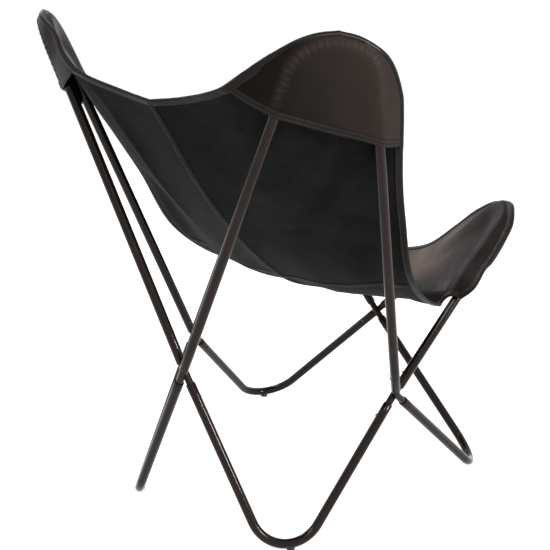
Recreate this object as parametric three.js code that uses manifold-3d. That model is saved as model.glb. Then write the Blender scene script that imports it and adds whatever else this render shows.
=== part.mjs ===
// Butterfly sling chair: a leather sling hung by four corner pockets on a knock-down frame of bent tubes.
// Millimetres, +Z up. The chair faces -Y and its left side is +X.
import * as THREE from 'three';
import { mergeVertices } from 'three/addons/utils/BufferGeometryUtils.js';
import Module from 'manifold-3d';

const wasm = await Module();
wasm.setup();

// Frame tube
const tubeDiameter = 16;
const tubeWall = 1.4;
const topBendRadius = 61;
const footBendRadius = 65;

// Crossings: where the two crossing rods of each side are welded together
const backCrossDepth = 294;
const backCrossHeight = 291;
const frontCrossDepth = 296;
const frontCrossHeight = 242;
const sideCrossHalfWidth = 229.5;
const sideCrossBack = 8;
const sideCrossHeight = 217;
const sideBow = 7;

// Corners: where the two straight legs of a bent tube would meet. Each top tube's corner then slides along
// its middle line until its legs, measured from the crossings, have the length given here on average.
const backPeakHalfWidth = 348;
const backPeakDepth = 346;
const backPeakHeight = 1045;
const frontPeakHalfWidth = 311;
const frontPeakDepth = 326;
const frontPeakHeight = 566;
const backLegLength = 586;
const frontLegLength = 333;
const backFootHalfWidth = 175;
const backFootDepth = 258;
const frontFootHalfWidth = 283;
const frontFootDepth = 271;

// Crossing rods, whose ends are the spigots that the tubes slide on
const spigotClearance = 0.4;
const spigotWall = 1.4;
const spigotInsert = 60;
const rodBendRadius = 40;
const weldDepth = 2.4;
const endGap = { near: 18, far: 14.5 };
const bendClearance = 12;

// Snap buttons
const buttonDistance = 44;
const buttonRadius = 2.6;
const buttonProud = 2.4;
const buttonRim = 0.5;
const holeClearance = 0.35;
const leafWidth = 5;
const leafThickness = 0.7;
const leafLength = 24;
const leafSeat = 0.5;

// Glides
const glideHeight = 3;
const glideRadius = 7;
const glideCup = 3.5;
const glideStemRadius = 2.2;
const glideStemReach = 3;
const glideClearance = 0.3;

// Sling leather
const leatherThickness = 3;
const pocketThickness = 2.4;
const stripThickness = 2;
const stripClearance = 2;
const sheetGap = 0.35;
const tubeClearance = 2.2;
const seamGap = 0.4;
const pocketMargin = 19;
const innerLift = 50;
const liftBlend = 4;
const seatBelly = 40;

// Sling edges, at the middle of the chair
const backEdgeDepth = 358.5;
const backEdgeHeight = 742;
const frontEdgeDepth = 339;
const frontEdgeHeight = 359.5;

// Middle line of the sling from the back edge to the front edge: shares of back edge depth and height
const middleLineShares = [
  [0.901, 0.938],
  [0.712, 0.813],
  [0.521, 0.709],
  [0.294, 0.606],
  [0.034, 0.517],
  [-0.264, 0.462],
  [-0.503, 0.421],
  [-0.751, 0.442],
];
// Back edge between the middle and the pocket: shares of back peak half width, back edge depth and height
const backEdgeShares = [[0.172, 0.989, 1.012]];
// Side edge between the pockets: shares of side crossing half width, back crossing depth, back edge height
const sideEdgeShares = [
  [1.289, 0.444, 0.836],
  [1.222, 0.311, 0.747],
  [1.148, 0.111, 0.605],
  [1.077, -0.19, 0.51],
  [1.07, -0.432, 0.473],
];
// Front edge between the middle and the pocket: shares of front peak half width, front edge depth and height
const frontEdgeShares = [[0.266, 1.019, 1.068]];
// Pocket outlines: shares of the outline radius, as across the corner, down from the bend, and proud of it.
// The middle side runs from the middle of the chair up to the tip, and the outer side on from the tip.
const backPocketMiddleShares = [
  [-1.842, 0.325, -0.398],
  [-1.503, -0.06, -0.228],
  [-1.049, -0.448, -0.188],
  [-0.567, -0.839, -0.012],
];
const backPocketOuterShares = [
  [0.492, -0.836, 0.041],
  [0.95, -0.484, -0.037],
  [1.275, 0.149, -0.088],
  [1.389, 0.612, -0.14],
  [1.482, 1.224, -0.114],
];
const frontPocketMiddleShares = [
  [-1.768, 0.383, -0.062],
  [-1.309, -0.258, -0.068],
  [-0.87, -0.68, -0.026],
  [-0.494, -0.821, -0.006],
];
const frontPocketOuterShares = [
  [0.463, -0.902, -0.06],
  [0.948, -0.645, -0.02],
  [1.235, -0.298, -0.008],
  [1.467, 0.12, 0],
  [1.64, 0.49, -0.024],
  [1.867, 0.937, -0.017],
];
const pocketTipShare = [0, -1, -0.02];

// Where the seams and pocket hems run on the sling, as shares of its half width and length.
const crossSeamShare = 0.55;
const pocketHemRoundShare = 1.46;
const edgeCrowdingShare = 1.7;
const bellyStartShare = 0.3;
const bellyOutwardShare = 1.6;

// Facet counts
const tubeSides = 12;
const bendSteps = 6;
const rodBendSteps = 4;
const buttonSides = 8;
const domeSteps = 2;
const glideSides = 16;
const panelColumns = 13;
const backPanelRows = 15;
const seatPanelRows = 16;
const pocketRows = 9;
const pocketColumns = 14;
const stripRows = 2;
const outlineSamples = 48;
const settleSteps = 30;

// Sizes that follow from the ones above
const tubeRadius = tubeDiameter / 2;
const boreRadius = tubeRadius - tubeWall;
const spigotRadius = boreRadius - spigotClearance;
const spigotBoreRadius = spigotRadius - spigotWall;
const rodOffset = spigotRadius - weldDepth / 2;
const outlineRadius = topBendRadius + pocketMargin;
const sheetToTube = tubeRadius + tubeClearance + leatherThickness / 2;
const pocketToTube = tubeRadius + tubeClearance + pocketThickness / 2;
const pocketLayer = leatherThickness / 2 + sheetGap + pocketThickness / 2;
const stripLayer = leatherThickness / 2 + sheetGap + stripThickness / 2;

const up = new THREE.Vector3(0, 0, 1);
const vec = (x, y, z) => new THREE.Vector3(x, y, z);
const mirror = (p) => vec(-p.x, p.y, p.z);
const sideOf = (p, side) => (side > 0 ? p.clone() : mirror(p));

// Materials
const finishes = {
  tube: { color: 0x1c1a19, roughness: 0.38, metalness: 0.6 },
  cross: { color: 0x181716, roughness: 0.42, metalness: 0.6 },
  button: { color: 0x2a2927, roughness: 0.3, metalness: 0.9 },
  glide: { color: 0x121212, roughness: 0.6, metalness: 0 },
  panel: { color: 0x2b2724, roughness: 0.5, metalness: 0 },
  pocket: { color: 0x332e2b, roughness: 0.5, metalness: 0 },
  strip: { color: 0x2e2a27, roughness: 0.55, metalness: 0 },
};

const chair = new THREE.Group();

function addPiece(name, geometry, finish) {
  const piece = new THREE.Mesh(geometry, new THREE.MeshStandardMaterial(finishes[finish]));
  piece.name = name;
  chair.add(piece);
  return piece;
}

// Solids and booleans
function toSolid(geometry) {
  const bare = geometry.clone();
  bare.deleteAttribute('normal');
  bare.deleteAttribute('uv');
  const merged = mergeVertices(bare);
  return new wasm.Manifold(
    new wasm.Mesh({
      numProp: 3,
      vertProperties: Float32Array.from(merged.attributes.position.array),
      triVerts: Uint32Array.from(merged.index.array),
    }),
  );
}

function toGeometry(solid) {
  const mesh = solid.getMesh();
  const geometry = new THREE.BufferGeometry();
  geometry.setAttribute('position', new THREE.BufferAttribute(Float32Array.from(mesh.vertProperties), 3));
  geometry.setIndex(new THREE.BufferAttribute(Uint32Array.from(mesh.triVerts), 1));
  geometry.computeVertexNormals();
  return geometry;
}

function pinBetween(start, end, radius, sides) {
  const length = start.distanceTo(end);
  const pin = new THREE.CylinderGeometry(radius, radius, length, sides);
  pin.applyQuaternion(new THREE.Quaternion().setFromUnitVectors(vec(0, 1, 0), end.clone().sub(start).normalize()));
  pin.translate((start.x + end.x) / 2, (start.y + end.y) / 2, (start.z + end.z) / 2);
  return pin;
}

// A tube's middle line: a straight leg, a bend of steady radius about a corner, and a straight leg
class BentRun extends THREE.Curve {
  constructor(start, corner, end, radius, steps) {
    super();
    const first = start.clone().sub(corner).normalize();
    const second = end.clone().sub(corner).normalize();
    this.halfAngle = first.angleTo(second) / 2;
    this.down = first.clone().add(second).normalize();
    this.normal = first.clone().cross(second).normalize();
    this.centre = corner.clone().addScaledVector(this.down, radius / Math.sin(this.halfAngle));
    const tangentLength = radius / Math.tan(this.halfAngle);
    const from = corner.clone().addScaledVector(first, tangentLength);
    const to = corner.clone().addScaledVector(second, tangentLength);
    const spoke = from.clone().sub(this.centre);
    const sweep = spoke.angleTo(to.clone().sub(this.centre));
    const turn = Math.sign(spoke.clone().cross(to.clone().sub(this.centre)).dot(this.normal));
    this.stations = [start.clone()];
    this.headings = [first.clone().negate()];
    for (let i = 0; i <= steps; i += 1) {
      const angle = (turn * sweep * i) / steps;
      this.stations.push(this.centre.clone().add(spoke.clone().applyAxisAngle(this.normal, angle)));
      this.headings.push(first.clone().negate().applyAxisAngle(this.normal, angle));
    }
    this.stations.push(end.clone());
    this.headings.push(second.clone());
    this.radius = radius;
  }

  get steps() {
    return this.stations.length - 1;
  }

  getPoint(t, target = new THREE.Vector3()) {
    const place = Math.min(Math.max(t, 0), 1) * this.steps;
    const index = Math.min(Math.floor(place), this.steps - 1);
    return target.lerpVectors(this.stations[index], this.stations[index + 1], place - index);
  }

  getPointAt(u, target) {
    return this.getPoint(u, target);
  }

  getTangentAt(u, target = new THREE.Vector3()) {
    return target.copy(this.headings[Math.round(u * this.steps)]);
  }

  lowestPoint() {
    const outward = up.clone().negate().projectOnPlane(this.normal).normalize();
    return this.centre.clone().addScaledVector(outward, this.radius);
  }
}

// A hollow tube along a bent run
function hollowTube(run, outerRadius, innerRadius) {
  const section = new THREE.Shape().absarc(0, 0, outerRadius, 0, 2 * Math.PI, false);
  const bore = new THREE.Path().absarc(0, 0, innerRadius, 0, 2 * Math.PI, true);
  section.holes.push(bore);
  return new THREE.ExtrudeGeometry(section, {
    steps: run.steps,
    curveSegments: tubeSides / 2,
    bevelEnabled: false,
    extrudePath: run,
  });
}

// A solid tube along a bent run, for cuts
function fullTube(run, radius) {
  const section = new THREE.Shape().absarc(0, 0, radius, 0, 2 * Math.PI, false);
  return new THREE.ExtrudeGeometry(section, {
    steps: run.steps,
    curveSegments: tubeSides / 2,
    bevelEnabled: false,
    extrudePath: run,
  });
}

// Crossings. The near rod lies on the sitter's side of the weld and the far rod outside it.
// Both side crosses are the same part, so its bent rod is the far one at the right and the near one at the left.
const crossings = {
  back: { at: vec(0, backCrossDepth, backCrossHeight), inward: vec(0, -1, 0) },
  front: { at: vec(0, -frontCrossDepth, frontCrossHeight), inward: vec(0, 1, 0) },
  left: { at: vec(sideCrossHalfWidth, sideCrossBack, sideCrossHeight), inward: vec(-1, 0, 0), bentLayer: 'near' },
  right: { at: vec(-sideCrossHalfWidth, sideCrossBack, sideCrossHeight), inward: vec(1, 0, 0), bentLayer: 'far' },
};

function rodPoint(crossName, layer) {
  const cross = crossings[crossName];
  const point = cross.at.clone().addScaledVector(cross.inward, layer === 'near' ? rodOffset : -rodOffset);
  if (layer === cross.bentLayer) point.add(vec(0, sideBow, sideBow));
  return point;
}

// The height of a foot's corner at which its bend stands on the glides
function standingCorner(halfWidth, y, endA, endB) {
  const corner = vec(halfWidth, y, 0);
  for (let i = 0; i < settleSteps; i += 1) {
    const run = new BentRun(endA, corner, endB, footBendRadius, 1);
    corner.z -= run.lowestPoint().z - (glideHeight + tubeRadius);
  }
  return corner;
}

// The corner at which a top tube's two legs have the given length on average
function springCorner(peak, endA, endB, legLength) {
  const corner = peak.clone();
  for (let i = 0; i < settleSteps; i += 1) {
    const run = new BentRun(endA, corner, endB, topBendRadius, 1);
    const legs = (corner.distanceTo(endA) + corner.distanceTo(endB)) / 2;
    corner.addScaledVector(run.down, legs - topBendRadius / Math.tan(run.halfAngle) - legLength);
  }
  return corner;
}

const backPeak = vec(backPeakHalfWidth, backPeakDepth, backPeakHeight);
const frontPeak = vec(frontPeakHalfWidth, -frontPeakDepth, frontPeakHeight);

// Each tube names its corner, the crossing and rod layer at its first end, and the same at its second end
const tubes = [
  { name: 'top_back_left', peak: backPeak, leg: backLegLength, ends: [['back', 'near'], ['left', 'near']] },
  { name: 'top_back_right', peak: mirror(backPeak), leg: backLegLength, ends: [['back', 'far'], ['right', 'far']] },
  { name: 'top_front_left', peak: frontPeak, leg: frontLegLength, ends: [['front', 'near'], ['left', 'far']] },
  { name: 'top_front_right', peak: mirror(frontPeak), leg: frontLegLength, ends: [['front', 'far'], ['right', 'near']] },
  { name: 'foot_back_left', foot: [backFootHalfWidth, backFootDepth], ends: [['back', 'far'], ['left', 'far']] },
  { name: 'foot_back_right', foot: [-backFootHalfWidth, backFootDepth], ends: [['back', 'near'], ['right', 'near']] },
  { name: 'foot_front_left', foot: [frontFootHalfWidth, -frontFootDepth], ends: [['front', 'far'], ['left', 'near']] },
  { name: 'foot_front_right', foot: [-frontFootHalfWidth, -frontFootDepth], ends: [['front', 'near'], ['right', 'far']] },
];

for (const tube of tubes) {
  const hubs = tube.ends.map(([crossName, layer]) => rodPoint(crossName, layer));
  tube.radius = tube.foot ? footBendRadius : topBendRadius;
  tube.corner = tube.foot
    ? standingCorner(tube.foot[0], tube.foot[1], hubs[0], hubs[1])
    : springCorner(tube.peak, hubs[0], hubs[1], tube.leg);
  tube.hubs = hubs;
  tube.arms = hubs.map((hub) => tube.corner.clone().sub(hub).normalize());
  const fromHub = tube.ends.map(([crossName], i) => crossings[crossName].at.clone().sub(hubs[i]).dot(tube.arms[i]));
  const mouths = tube.ends.map(([, layer], i) => Math.max(fromHub[i] + endGap[layer], bendClearance));
  const along = (i, distance) => hubs[i].clone().addScaledVector(tube.arms[i], distance);
  tube.run = new BentRun(along(0, mouths[0]), tube.corner, along(1, mouths[1]), tube.radius, bendSteps);
  tube.spigots = mouths.map((mouth, i) => [along(i, mouth), along(i, mouth + spigotInsert)]);
  tube.buttons = tube.ends.map(([crossName], i) => ({
    name: `button_${tube.name}_at_${crossName}`,
    axisPoint: along(i, fromHub[i] + buttonDistance),
    outward: crossings[crossName].inward.clone().projectOnPlane(tube.arms[i]).normalize(),
    along: tube.arms[i],
  }));
}

// A hole through one wall of a tube or spigot for a snap button
function buttonHole(button) {
  const end = button.axisPoint.clone().addScaledVector(button.outward, tubeDiameter);
  return toSolid(pinBetween(button.axisPoint, end, buttonRadius + holeClearance, buttonSides));
}

// Tubes
function tubeSolid(tube) {
  let solid = toSolid(hollowTube(tube.run, tubeRadius, boreRadius));
  for (const button of tube.buttons) {
    solid = solid.subtract(buttonHole(button));
  }
  if (tube.foot) {
    const low = tube.run.lowestPoint();
    const below = low.clone().addScaledVector(up, -tubeDiameter);
    solid = solid.subtract(toSolid(pinBetween(low, below, glideStemRadius + glideClearance, buttonSides)));
  }
  return solid;
}

// Crosses: two rods, each running from one tube's end to the tube that lies across the crossing
function rodSolid(crossName, layer) {
  const tips = [];
  const cuts = [];
  for (const tube of tubes) {
    tube.ends.forEach(([name, endLayer], end) => {
      if (name !== crossName || endLayer !== layer) return;
      const [boreEnd, tip] = tube.spigots[end];
      const beyond = tip.clone().addScaledVector(tube.arms[end], spigotWall);
      tips.push(tip);
      cuts.push(toSolid(pinBetween(boreEnd, beyond, spigotBoreRadius, tubeSides)), buttonHole(tube.buttons[end]));
    });
  }
  const run = new BentRun(tips[0], rodPoint(crossName, layer), tips[1], rodBendRadius, rodBendSteps);
  return cuts.reduce((solid, cut) => solid.subtract(cut), toSolid(fullTube(run, spigotRadius)));
}

// Snap button: a domed pin on a flat spring leaf that lies inside the spigot
function buttonGeometry(button) {
  const leafTop = Math.sqrt((spigotBoreRadius - leafSeat) ** 2 - (leafWidth / 2) ** 2) - leafSeat;
  const rim = tubeRadius + buttonRim;
  const crown = buttonProud - buttonRim;
  const profile = [new THREE.Vector2(0, leafTop - leafThickness / 2)];
  profile.push(new THREE.Vector2(buttonRadius, leafTop - leafThickness / 2));
  for (let i = 0; i < domeSteps; i += 1) {
    const angle = ((Math.PI / 2) * i) / domeSteps;
    profile.push(new THREE.Vector2(buttonRadius * Math.cos(angle), rim + crown * Math.sin(angle)));
  }
  profile.push(new THREE.Vector2(0, rim + crown));
  const pin = new THREE.LatheGeometry(profile, buttonSides);
  const leaf = new THREE.BoxGeometry(leafWidth, leafThickness, leafLength);
  leaf.translate(0, leafTop - leafThickness / 2, leafLength / 2 - buttonRadius - leafThickness);
  const geometry = toGeometry(toSolid(pin).add(toSolid(leaf)));
  const sideways = button.outward.clone().cross(button.along);
  const basis = new THREE.Matrix4().makeBasis(sideways, button.outward, button.along);
  geometry.applyMatrix4(basis.setPosition(button.axisPoint));
  return geometry;
}

// Glide: a flat round pad that cups the underside of a foot bend, with a stem pushed through the tube's wall
function glideSolid(tube) {
  const low = tube.run.lowestPoint();
  const floor = vec(low.x, low.y, 0);
  const cupTop = vec(low.x, low.y, glideHeight + glideCup);
  const pad = toSolid(pinBetween(floor, cupTop, glideRadius, glideSides));
  const cut = toSolid(fullTube(tube.run, (tubeRadius + glideClearance) / Math.cos(Math.PI / tubeSides)));
  const stemFoot = vec(low.x, low.y, glideHeight / 2);
  const stemTop = vec(low.x, low.y, glideHeight + tubeWall + glideStemReach);
  return pad.subtract(cut).add(toSolid(pinBetween(stemFoot, stemTop, glideStemRadius, buttonSides)));
}

// A pocket corner's own frame, on the left: across towards the side edge, down, and outside away from the sitter
function cornerFrame(tubeName, side) {
  const tube = tubes.find(({ name }) => name === tubeName);
  const [start, corner, end] = [tube.hubs[0], tube.corner, tube.hubs[1]].map((point) => sideOf(point, side));
  const run = new BentRun(start, corner, end, tube.radius, 1);
  const across = end.clone().sub(start).projectOnPlane(run.down).normalize();
  const outside = across.clone().cross(run.down);
  if (outside.x < 0) outside.negate();
  return { centre: run.centre, across, down: run.down, outside, halfAngle: run.halfAngle };
}

function fromCorner(frame, [across, down, proud]) {
  return frame.centre
    .clone()
    .addScaledVector(frame.across, across)
    .addScaledVector(frame.down, down)
    .addScaledVector(frame.outside, proud);
}

function toCorner(frame, point) {
  const arm = point.clone().sub(frame.centre);
  return [arm.dot(frame.across), arm.dot(frame.down), arm.dot(frame.outside)];
}

const outlinePoint = (frame, shares) => fromCorner(frame, shares.map((share) => share * outlineRadius));
const smoothCurve = (points) => new THREE.CatmullRomCurve3(points, false, 'centripetal');
const bump = (x, low, high) => (x > low && x < high ? Math.sin((Math.PI * (x - low)) / (high - low)) ** 2 : 0);
const smoothStep = (x) => x * x * (3 - 2 * x);
const stations = (count) => Array.from({ length: count + 1 }, (_, i) => i / count);
const clamp = (x, low, high) => Math.min(Math.max(x, low), high);

// Distance of a place in a corner's plane from the middle line of its tube, positive outside the bend
function distanceFromTube(frame, across, down) {
  const cos = Math.cos(frame.halfAngle);
  const sin = Math.sin(frame.halfAngle);
  const past = (Math.abs(across) - topBendRadius * cos) * sin + (down + topBendRadius * sin) * cos;
  if (past < 0) return Math.hypot(across, down) - topBendRadius;
  return (Math.abs(across) - topBendRadius * cos) * cos - (down + topBendRadius * sin) * sin;
}

// Height, off the plane of a tube's middle line, of leather pulled taut from a seam over the round tube
function tautHeight(over, distance, seamDistance, seamHeight) {
  if (distance <= 0) return over;
  const reach = Math.hypot(seamDistance, seamHeight);
  const touch = Math.atan2(seamHeight, seamDistance) + Math.acos(clamp(over / reach, -1, 1));
  const touchDistance = over * Math.cos(touch);
  if (distance < touchDistance) return Math.sqrt(over ** 2 - distance ** 2);
  const share = (distance - touchDistance) / Math.max(seamDistance - touchDistance, sheetGap);
  return THREE.MathUtils.lerp(over * Math.sin(touch), seamHeight, clamp(share, 0, 1));
}

// Half of the sling, laid out on the left: the tubes of the right side are mirrored first.
// On its middle surface s runs from the centre seam to the side edge and t from the back to the front.
class SlingHalf {
  constructor(sideName) {
    this.side = sideName === 'left' ? 1 : -1;
    this.back = cornerFrame(`top_back_${sideName}`, this.side);
    this.front = cornerFrame(`top_front_${sideName}`, this.side);
    this.back.tip = outlinePoint(this.back, pocketTipShare);
    this.front.tip = outlinePoint(this.front, pocketTipShare);
    this.backMiddle = vec(0, backEdgeDepth, backEdgeHeight);
    this.frontMiddle = vec(0, -frontEdgeDepth, frontEdgeHeight);
    this.backEdge = smoothCurve([
      this.backMiddle,
      ...backEdgeShares.map(([x, y, z]) => vec(x * backPeakHalfWidth, y * backEdgeDepth, z * backEdgeHeight)),
      ...backPocketMiddleShares.map((shares) => outlinePoint(this.back, shares)),
      this.back.tip,
    ]);
    this.frontEdge = smoothCurve([
      this.frontMiddle,
      ...frontEdgeShares.map(([x, y, z]) => vec(x * frontPeakHalfWidth, -y * frontEdgeDepth, z * frontEdgeHeight)),
      ...frontPocketMiddleShares.map((shares) => outlinePoint(this.front, shares)),
      this.front.tip,
    ]);
    this.sideEdge = smoothCurve([
      this.back.tip,
      ...backPocketOuterShares.map((shares) => outlinePoint(this.back, shares)),
      ...sideEdgeShares.map(([x, y, z]) => vec(x * sideCrossHalfWidth, y * backCrossDepth, z * backEdgeHeight)),
      ...frontPocketOuterShares.toReversed().map((shares) => outlinePoint(this.front, shares)),
      this.front.tip,
    ]);
    this.middleLine = smoothCurve([
      this.backMiddle,
      ...middleLineShares.map(([y, z]) => vec(0, y * backEdgeDepth, z * backEdgeHeight)),
      this.frontMiddle,
    ]);
  }

  // The surface before it meets the tubes
  hangingPoint(s, t) {
    const middle = this.middleLine.getPointAt(t);
    const side = this.sideEdge.getPointAt(t);
    const back = this.backEdge.getPointAt(s);
    const front = this.frontEdge.getPointAt(s);
    const sag = s * s;
    const toFront = smoothStep(t);
    const ruled = (axis, share) => {
      const between = middle[axis] * (1 - share) + side[axis] * share;
      const backRise = back[axis] - this.backMiddle[axis] * (1 - share) - this.back.tip[axis] * share;
      const frontRise = front[axis] - this.frontMiddle[axis] * (1 - share) - this.front.tip[axis] * share;
      return between + backRise * (1 - toFront) + frontRise * toFront;
    };
    const point = vec(ruled('x', s), ruled('y', sag), ruled('z', sag));
    point.z -= seatBelly * Math.sin(Math.PI * s ** bellyOutwardShare) * bump(t, bellyStartShare, 1);
    return point;
  }

  // The surface, held off the tubes on the sitter's side
  point(s, t) {
    const point = this.hangingPoint(s, t);
    const frame = t < crossSeamShare ? this.back : this.front;
    const [across, down, proud] = toCorner(frame, point);
    const distance = distanceFromTube(frame, across, down);
    if (distance < -3 * innerLift || distance > outlineRadius * 1.5) return point;
    const seam = this.seamNear(frame, across, down);
    const pastPocket = clamp(Math.min(t, 1 - t) / (1 - seatPanelT(1 - pocketRows / seatPanelRows)), 0, 1);
    const over = sheetToTube + (stripThickness + stripClearance) * smoothStep(pastPocket);
    const needed =
      tautHeight(over, distance, distance + seam.away, -seam.proud) *
      Math.exp(-((Math.min(distance, 0) / innerLift) ** 2));
    const blend = liftBlend * Math.min(seam.away / outlineRadius, 1);
    const height = (needed - proud + Math.hypot(needed + proud, blend)) / 2;
    return point.addScaledVector(frame.outside, -height - proud);
  }

  // The surface's normal, pointing away from the sitter
  normal(s, t) {
    const step = 1 / outlineSamples / 4;
    const inside = 3 * step;
    const si = Math.min(s, 1 - inside);
    const ti = clamp(t, inside, 1 - inside);
    const alongS = this.point(si + step, ti).sub(this.point(Math.max(si - step, 0), ti));
    if (s < step) alongS.set(1, 0, 0);
    const alongT = this.point(si, ti + step).sub(this.point(si, ti - step));
    return alongS.cross(alongT).normalize();
  }

  // A place on the surface, moved off it towards the outside
  cell(s, t, layer) {
    const normal = this.normal(s, t);
    return { point: this.point(s, t).addScaledVector(normal, layer), normal };
  }

  // How far a place in a corner's plane is from the sling's outline, and how proud the outline is there
  seamNear(frame, across, down) {
    if (!frame.outline) {
      const cap = frame === this.back ? 0 : 1;
      frame.outline = stations(outlineSamples).flatMap((u) => [
        toCorner(frame, this.hangingPoint(u, cap)),
        toCorner(frame, this.hangingPoint(1, Math.abs(cap - u / 2))),
      ]);
    }
    const near = { away: Infinity, proud: 0 };
    for (const [a, d, proud] of frame.outline) {
      const away = Math.hypot(a - across, d - down);
      if (away < near.away) Object.assign(near, { away, proud });
    }
    return near;
  }
}

// A closed sheet from a grid of middle points and normals
function sheetGeometry(rows, thickness) {
  const positions = [];
  const columnCount = rows[0].length;
  for (const side of [1, -1]) {
    for (const row of rows) {
      for (const { point, normal } of row) {
        positions.push(...point.clone().addScaledVector(normal, (side * thickness) / 2).toArray());
      }
    }
  }
  const layer = rows.length * columnCount;
  const at = (i, j, side) => side * layer + i * columnCount + j;
  const triangles = [];
  const quad = (a, b, c, d) => triangles.push(a, b, c, a, c, d);
  for (let i = 0; i + 1 < rows.length; i += 1) {
    for (let j = 0; j + 1 < columnCount; j += 1) {
      quad(at(i, j, 0), at(i, j + 1, 0), at(i + 1, j + 1, 0), at(i + 1, j, 0));
      quad(at(i, j, 1), at(i + 1, j, 1), at(i + 1, j + 1, 1), at(i, j + 1, 1));
    }
  }
  const last = rows.length - 1;
  const end = columnCount - 1;
  for (let j = 0; j < end; j += 1) {
    quad(at(0, j, 0), at(0, j, 1), at(0, j + 1, 1), at(0, j + 1, 0));
    quad(at(last, j, 0), at(last, j + 1, 0), at(last, j + 1, 1), at(last, j, 1));
  }
  for (let i = 0; i < last; i += 1) {
    quad(at(i, 0, 0), at(i + 1, 0, 0), at(i + 1, 0, 1), at(i, 0, 1));
    quad(at(i, end, 0), at(i, end, 1), at(i + 1, end, 1), at(i + 1, end, 0));
  }
  const geometry = new THREE.BufferGeometry();
  geometry.setAttribute('position', new THREE.Float32BufferAttribute(positions, 3));
  geometry.setIndex(triangles);
  return closedGeometry(geometry);
}

// Merges doubled points, drops the triangles that this flattens, and turns the shell outwards
function closedGeometry(geometry) {
  const merged = mergeVertices(geometry);
  const index = merged.index.array;
  const kept = [];
  for (let i = 0; i < index.length; i += 3) {
    const [a, b, c] = [index[i], index[i + 1], index[i + 2]];
    if (a !== b && b !== c && a !== c) kept.push(a, b, c);
  }
  merged.setIndex(kept);
  if (signedVolume(merged) < 0) merged.setIndex(flipped(kept));
  merged.computeVertexNormals();
  return merged;
}

function flipped(index) {
  const turned = [];
  for (let i = 0; i < index.length; i += 3) turned.push(index[i], index[i + 2], index[i + 1]);
  return turned;
}

function signedVolume(geometry) {
  const place = geometry.attributes.position;
  const index = geometry.index.array;
  const [a, b, c] = [vec(0, 0, 0), vec(0, 0, 0), vec(0, 0, 0)];
  let total = 0;
  for (let i = 0; i < index.length; i += 3) {
    a.fromBufferAttribute(place, index[i]);
    b.fromBufferAttribute(place, index[i + 1]);
    c.fromBufferAttribute(place, index[i + 2]);
    total += a.dot(b.cross(c));
  }
  return total;
}

function onSide(geometry, side) {
  if (side > 0) return geometry;
  const copy = geometry.clone();
  copy.scale(-1, 1, 1);
  copy.setIndex(flipped(copy.index.array));
  copy.computeVertexNormals();
  return copy;
}

// Grid stations crowded towards the sling's edges
const crowdToEdge = (u) => 1 - (1 - u) ** edgeCrowdingShare;

// Leather panels: the gap at each seam is split between its two panels
const seamShareAcross = seamGap / 2 / backPeakHalfWidth;
const seamShareAlong = seamGap / 2 / (backEdgeDepth + frontEdgeDepth);
const panelS = (u) => seamShareAcross + (1 - seamShareAcross) * crowdToEdge(u);
const backPanelT = (v) => (crossSeamShare - seamShareAlong) * (1 - crowdToEdge(1 - v));
const seatPanelT = (v) => crossSeamShare + seamShareAlong + (1 - crossSeamShare - seamShareAlong) * crowdToEdge(v);

function panelGrid(half, tAt, rowCount) {
  return stations(rowCount).map((v) => stations(panelColumns).map((u) => half.cell(panelS(u), tAt(v), 0)));
}

// Pocket panel: from its seam along the sling's outline it passes over the tube and down to its hem.
// The seam's stations are the main panel's own, for as many rows and columns as the pocket has rows.
function pocketPoint(half, frame, column, row) {
  const bend = ((Math.PI / 2) * column) / pocketColumns;
  const seamS = panelS(1 - row / panelColumns);
  const seamT = frame === half.back ? backPanelT(row / backPanelRows) : seatPanelT(1 - row / seatPanelRows);
  const tip = frame === half.back ? 0 : 1;
  const s = 1 - (1 - seamS) * Math.cos(bend) ** pocketHemRoundShare;
  const t = tip + (seamT - tip) * Math.sin(bend) ** pocketHemRoundShare;
  const [across, down, proud] = toCorner(frame, half.point(s, t));
  const onSeam = row === 0 || column === 0 || column === pocketColumns;
  if (onSeam) return fromCorner(frame, [across, down, proud + pocketLayer]);
  const distance = distanceFromTube(frame, across, down);
  const seam = half.seamNear(frame, across, down);
  const wrapped = tautHeight(pocketToTube, distance, distance + seam.away, seam.proud + pocketLayer);
  return fromCorner(frame, [across, down, Math.max(wrapped, proud + pocketLayer)]);
}

// The pocket's thickness is laid off square to its corner's plane, so that its walls stay apart round the tip
function pocketGrid(half, frame) {
  const numbers = (count) => Array.from({ length: count + 1 }, (_, i) => i);
  return numbers(pocketRows).map((row) =>
    numbers(pocketColumns).map((column) => ({
      point: pocketPoint(half, frame, column, row),
      normal: frame.outside,
    })),
  );
}

// Edge strips: leather bands sewn under the free edges between the pockets, on the main panels' stations
const lowered = ({ point, normal }) => ({ point: point.clone().addScaledVector(normal, stripLayer), normal });

// Ends a band a seam gap short of the pocket that its last station lies on
function shortened(band) {
  const [inner, last] = band.slice(-2);
  const share = 1 - seamGap / last.point.distanceTo(inner.point);
  const point = inner.point.clone().lerp(last.point, share);
  return [...band.slice(0, -1), { point, normal: last.normal }];
}

function endStripGrid(rows) {
  return rows.map((row) => shortened(row.slice(0, panelColumns - pocketRows + 1).map(lowered)));
}

function sideStripGrid(backGrid, seatGrid) {
  const rows = [...backGrid.slice(pocketRows), ...seatGrid.slice(0, seatPanelRows - pocketRows + 1)];
  const columns = rows[0].map((_, i) => i).slice(-stripRows - 1);
  const bands = columns.map((column) => rows.map((row) => lowered(row[column])));
  return bands.map((band) => shortened(shortened(band).toReversed()).toReversed());
}

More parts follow.
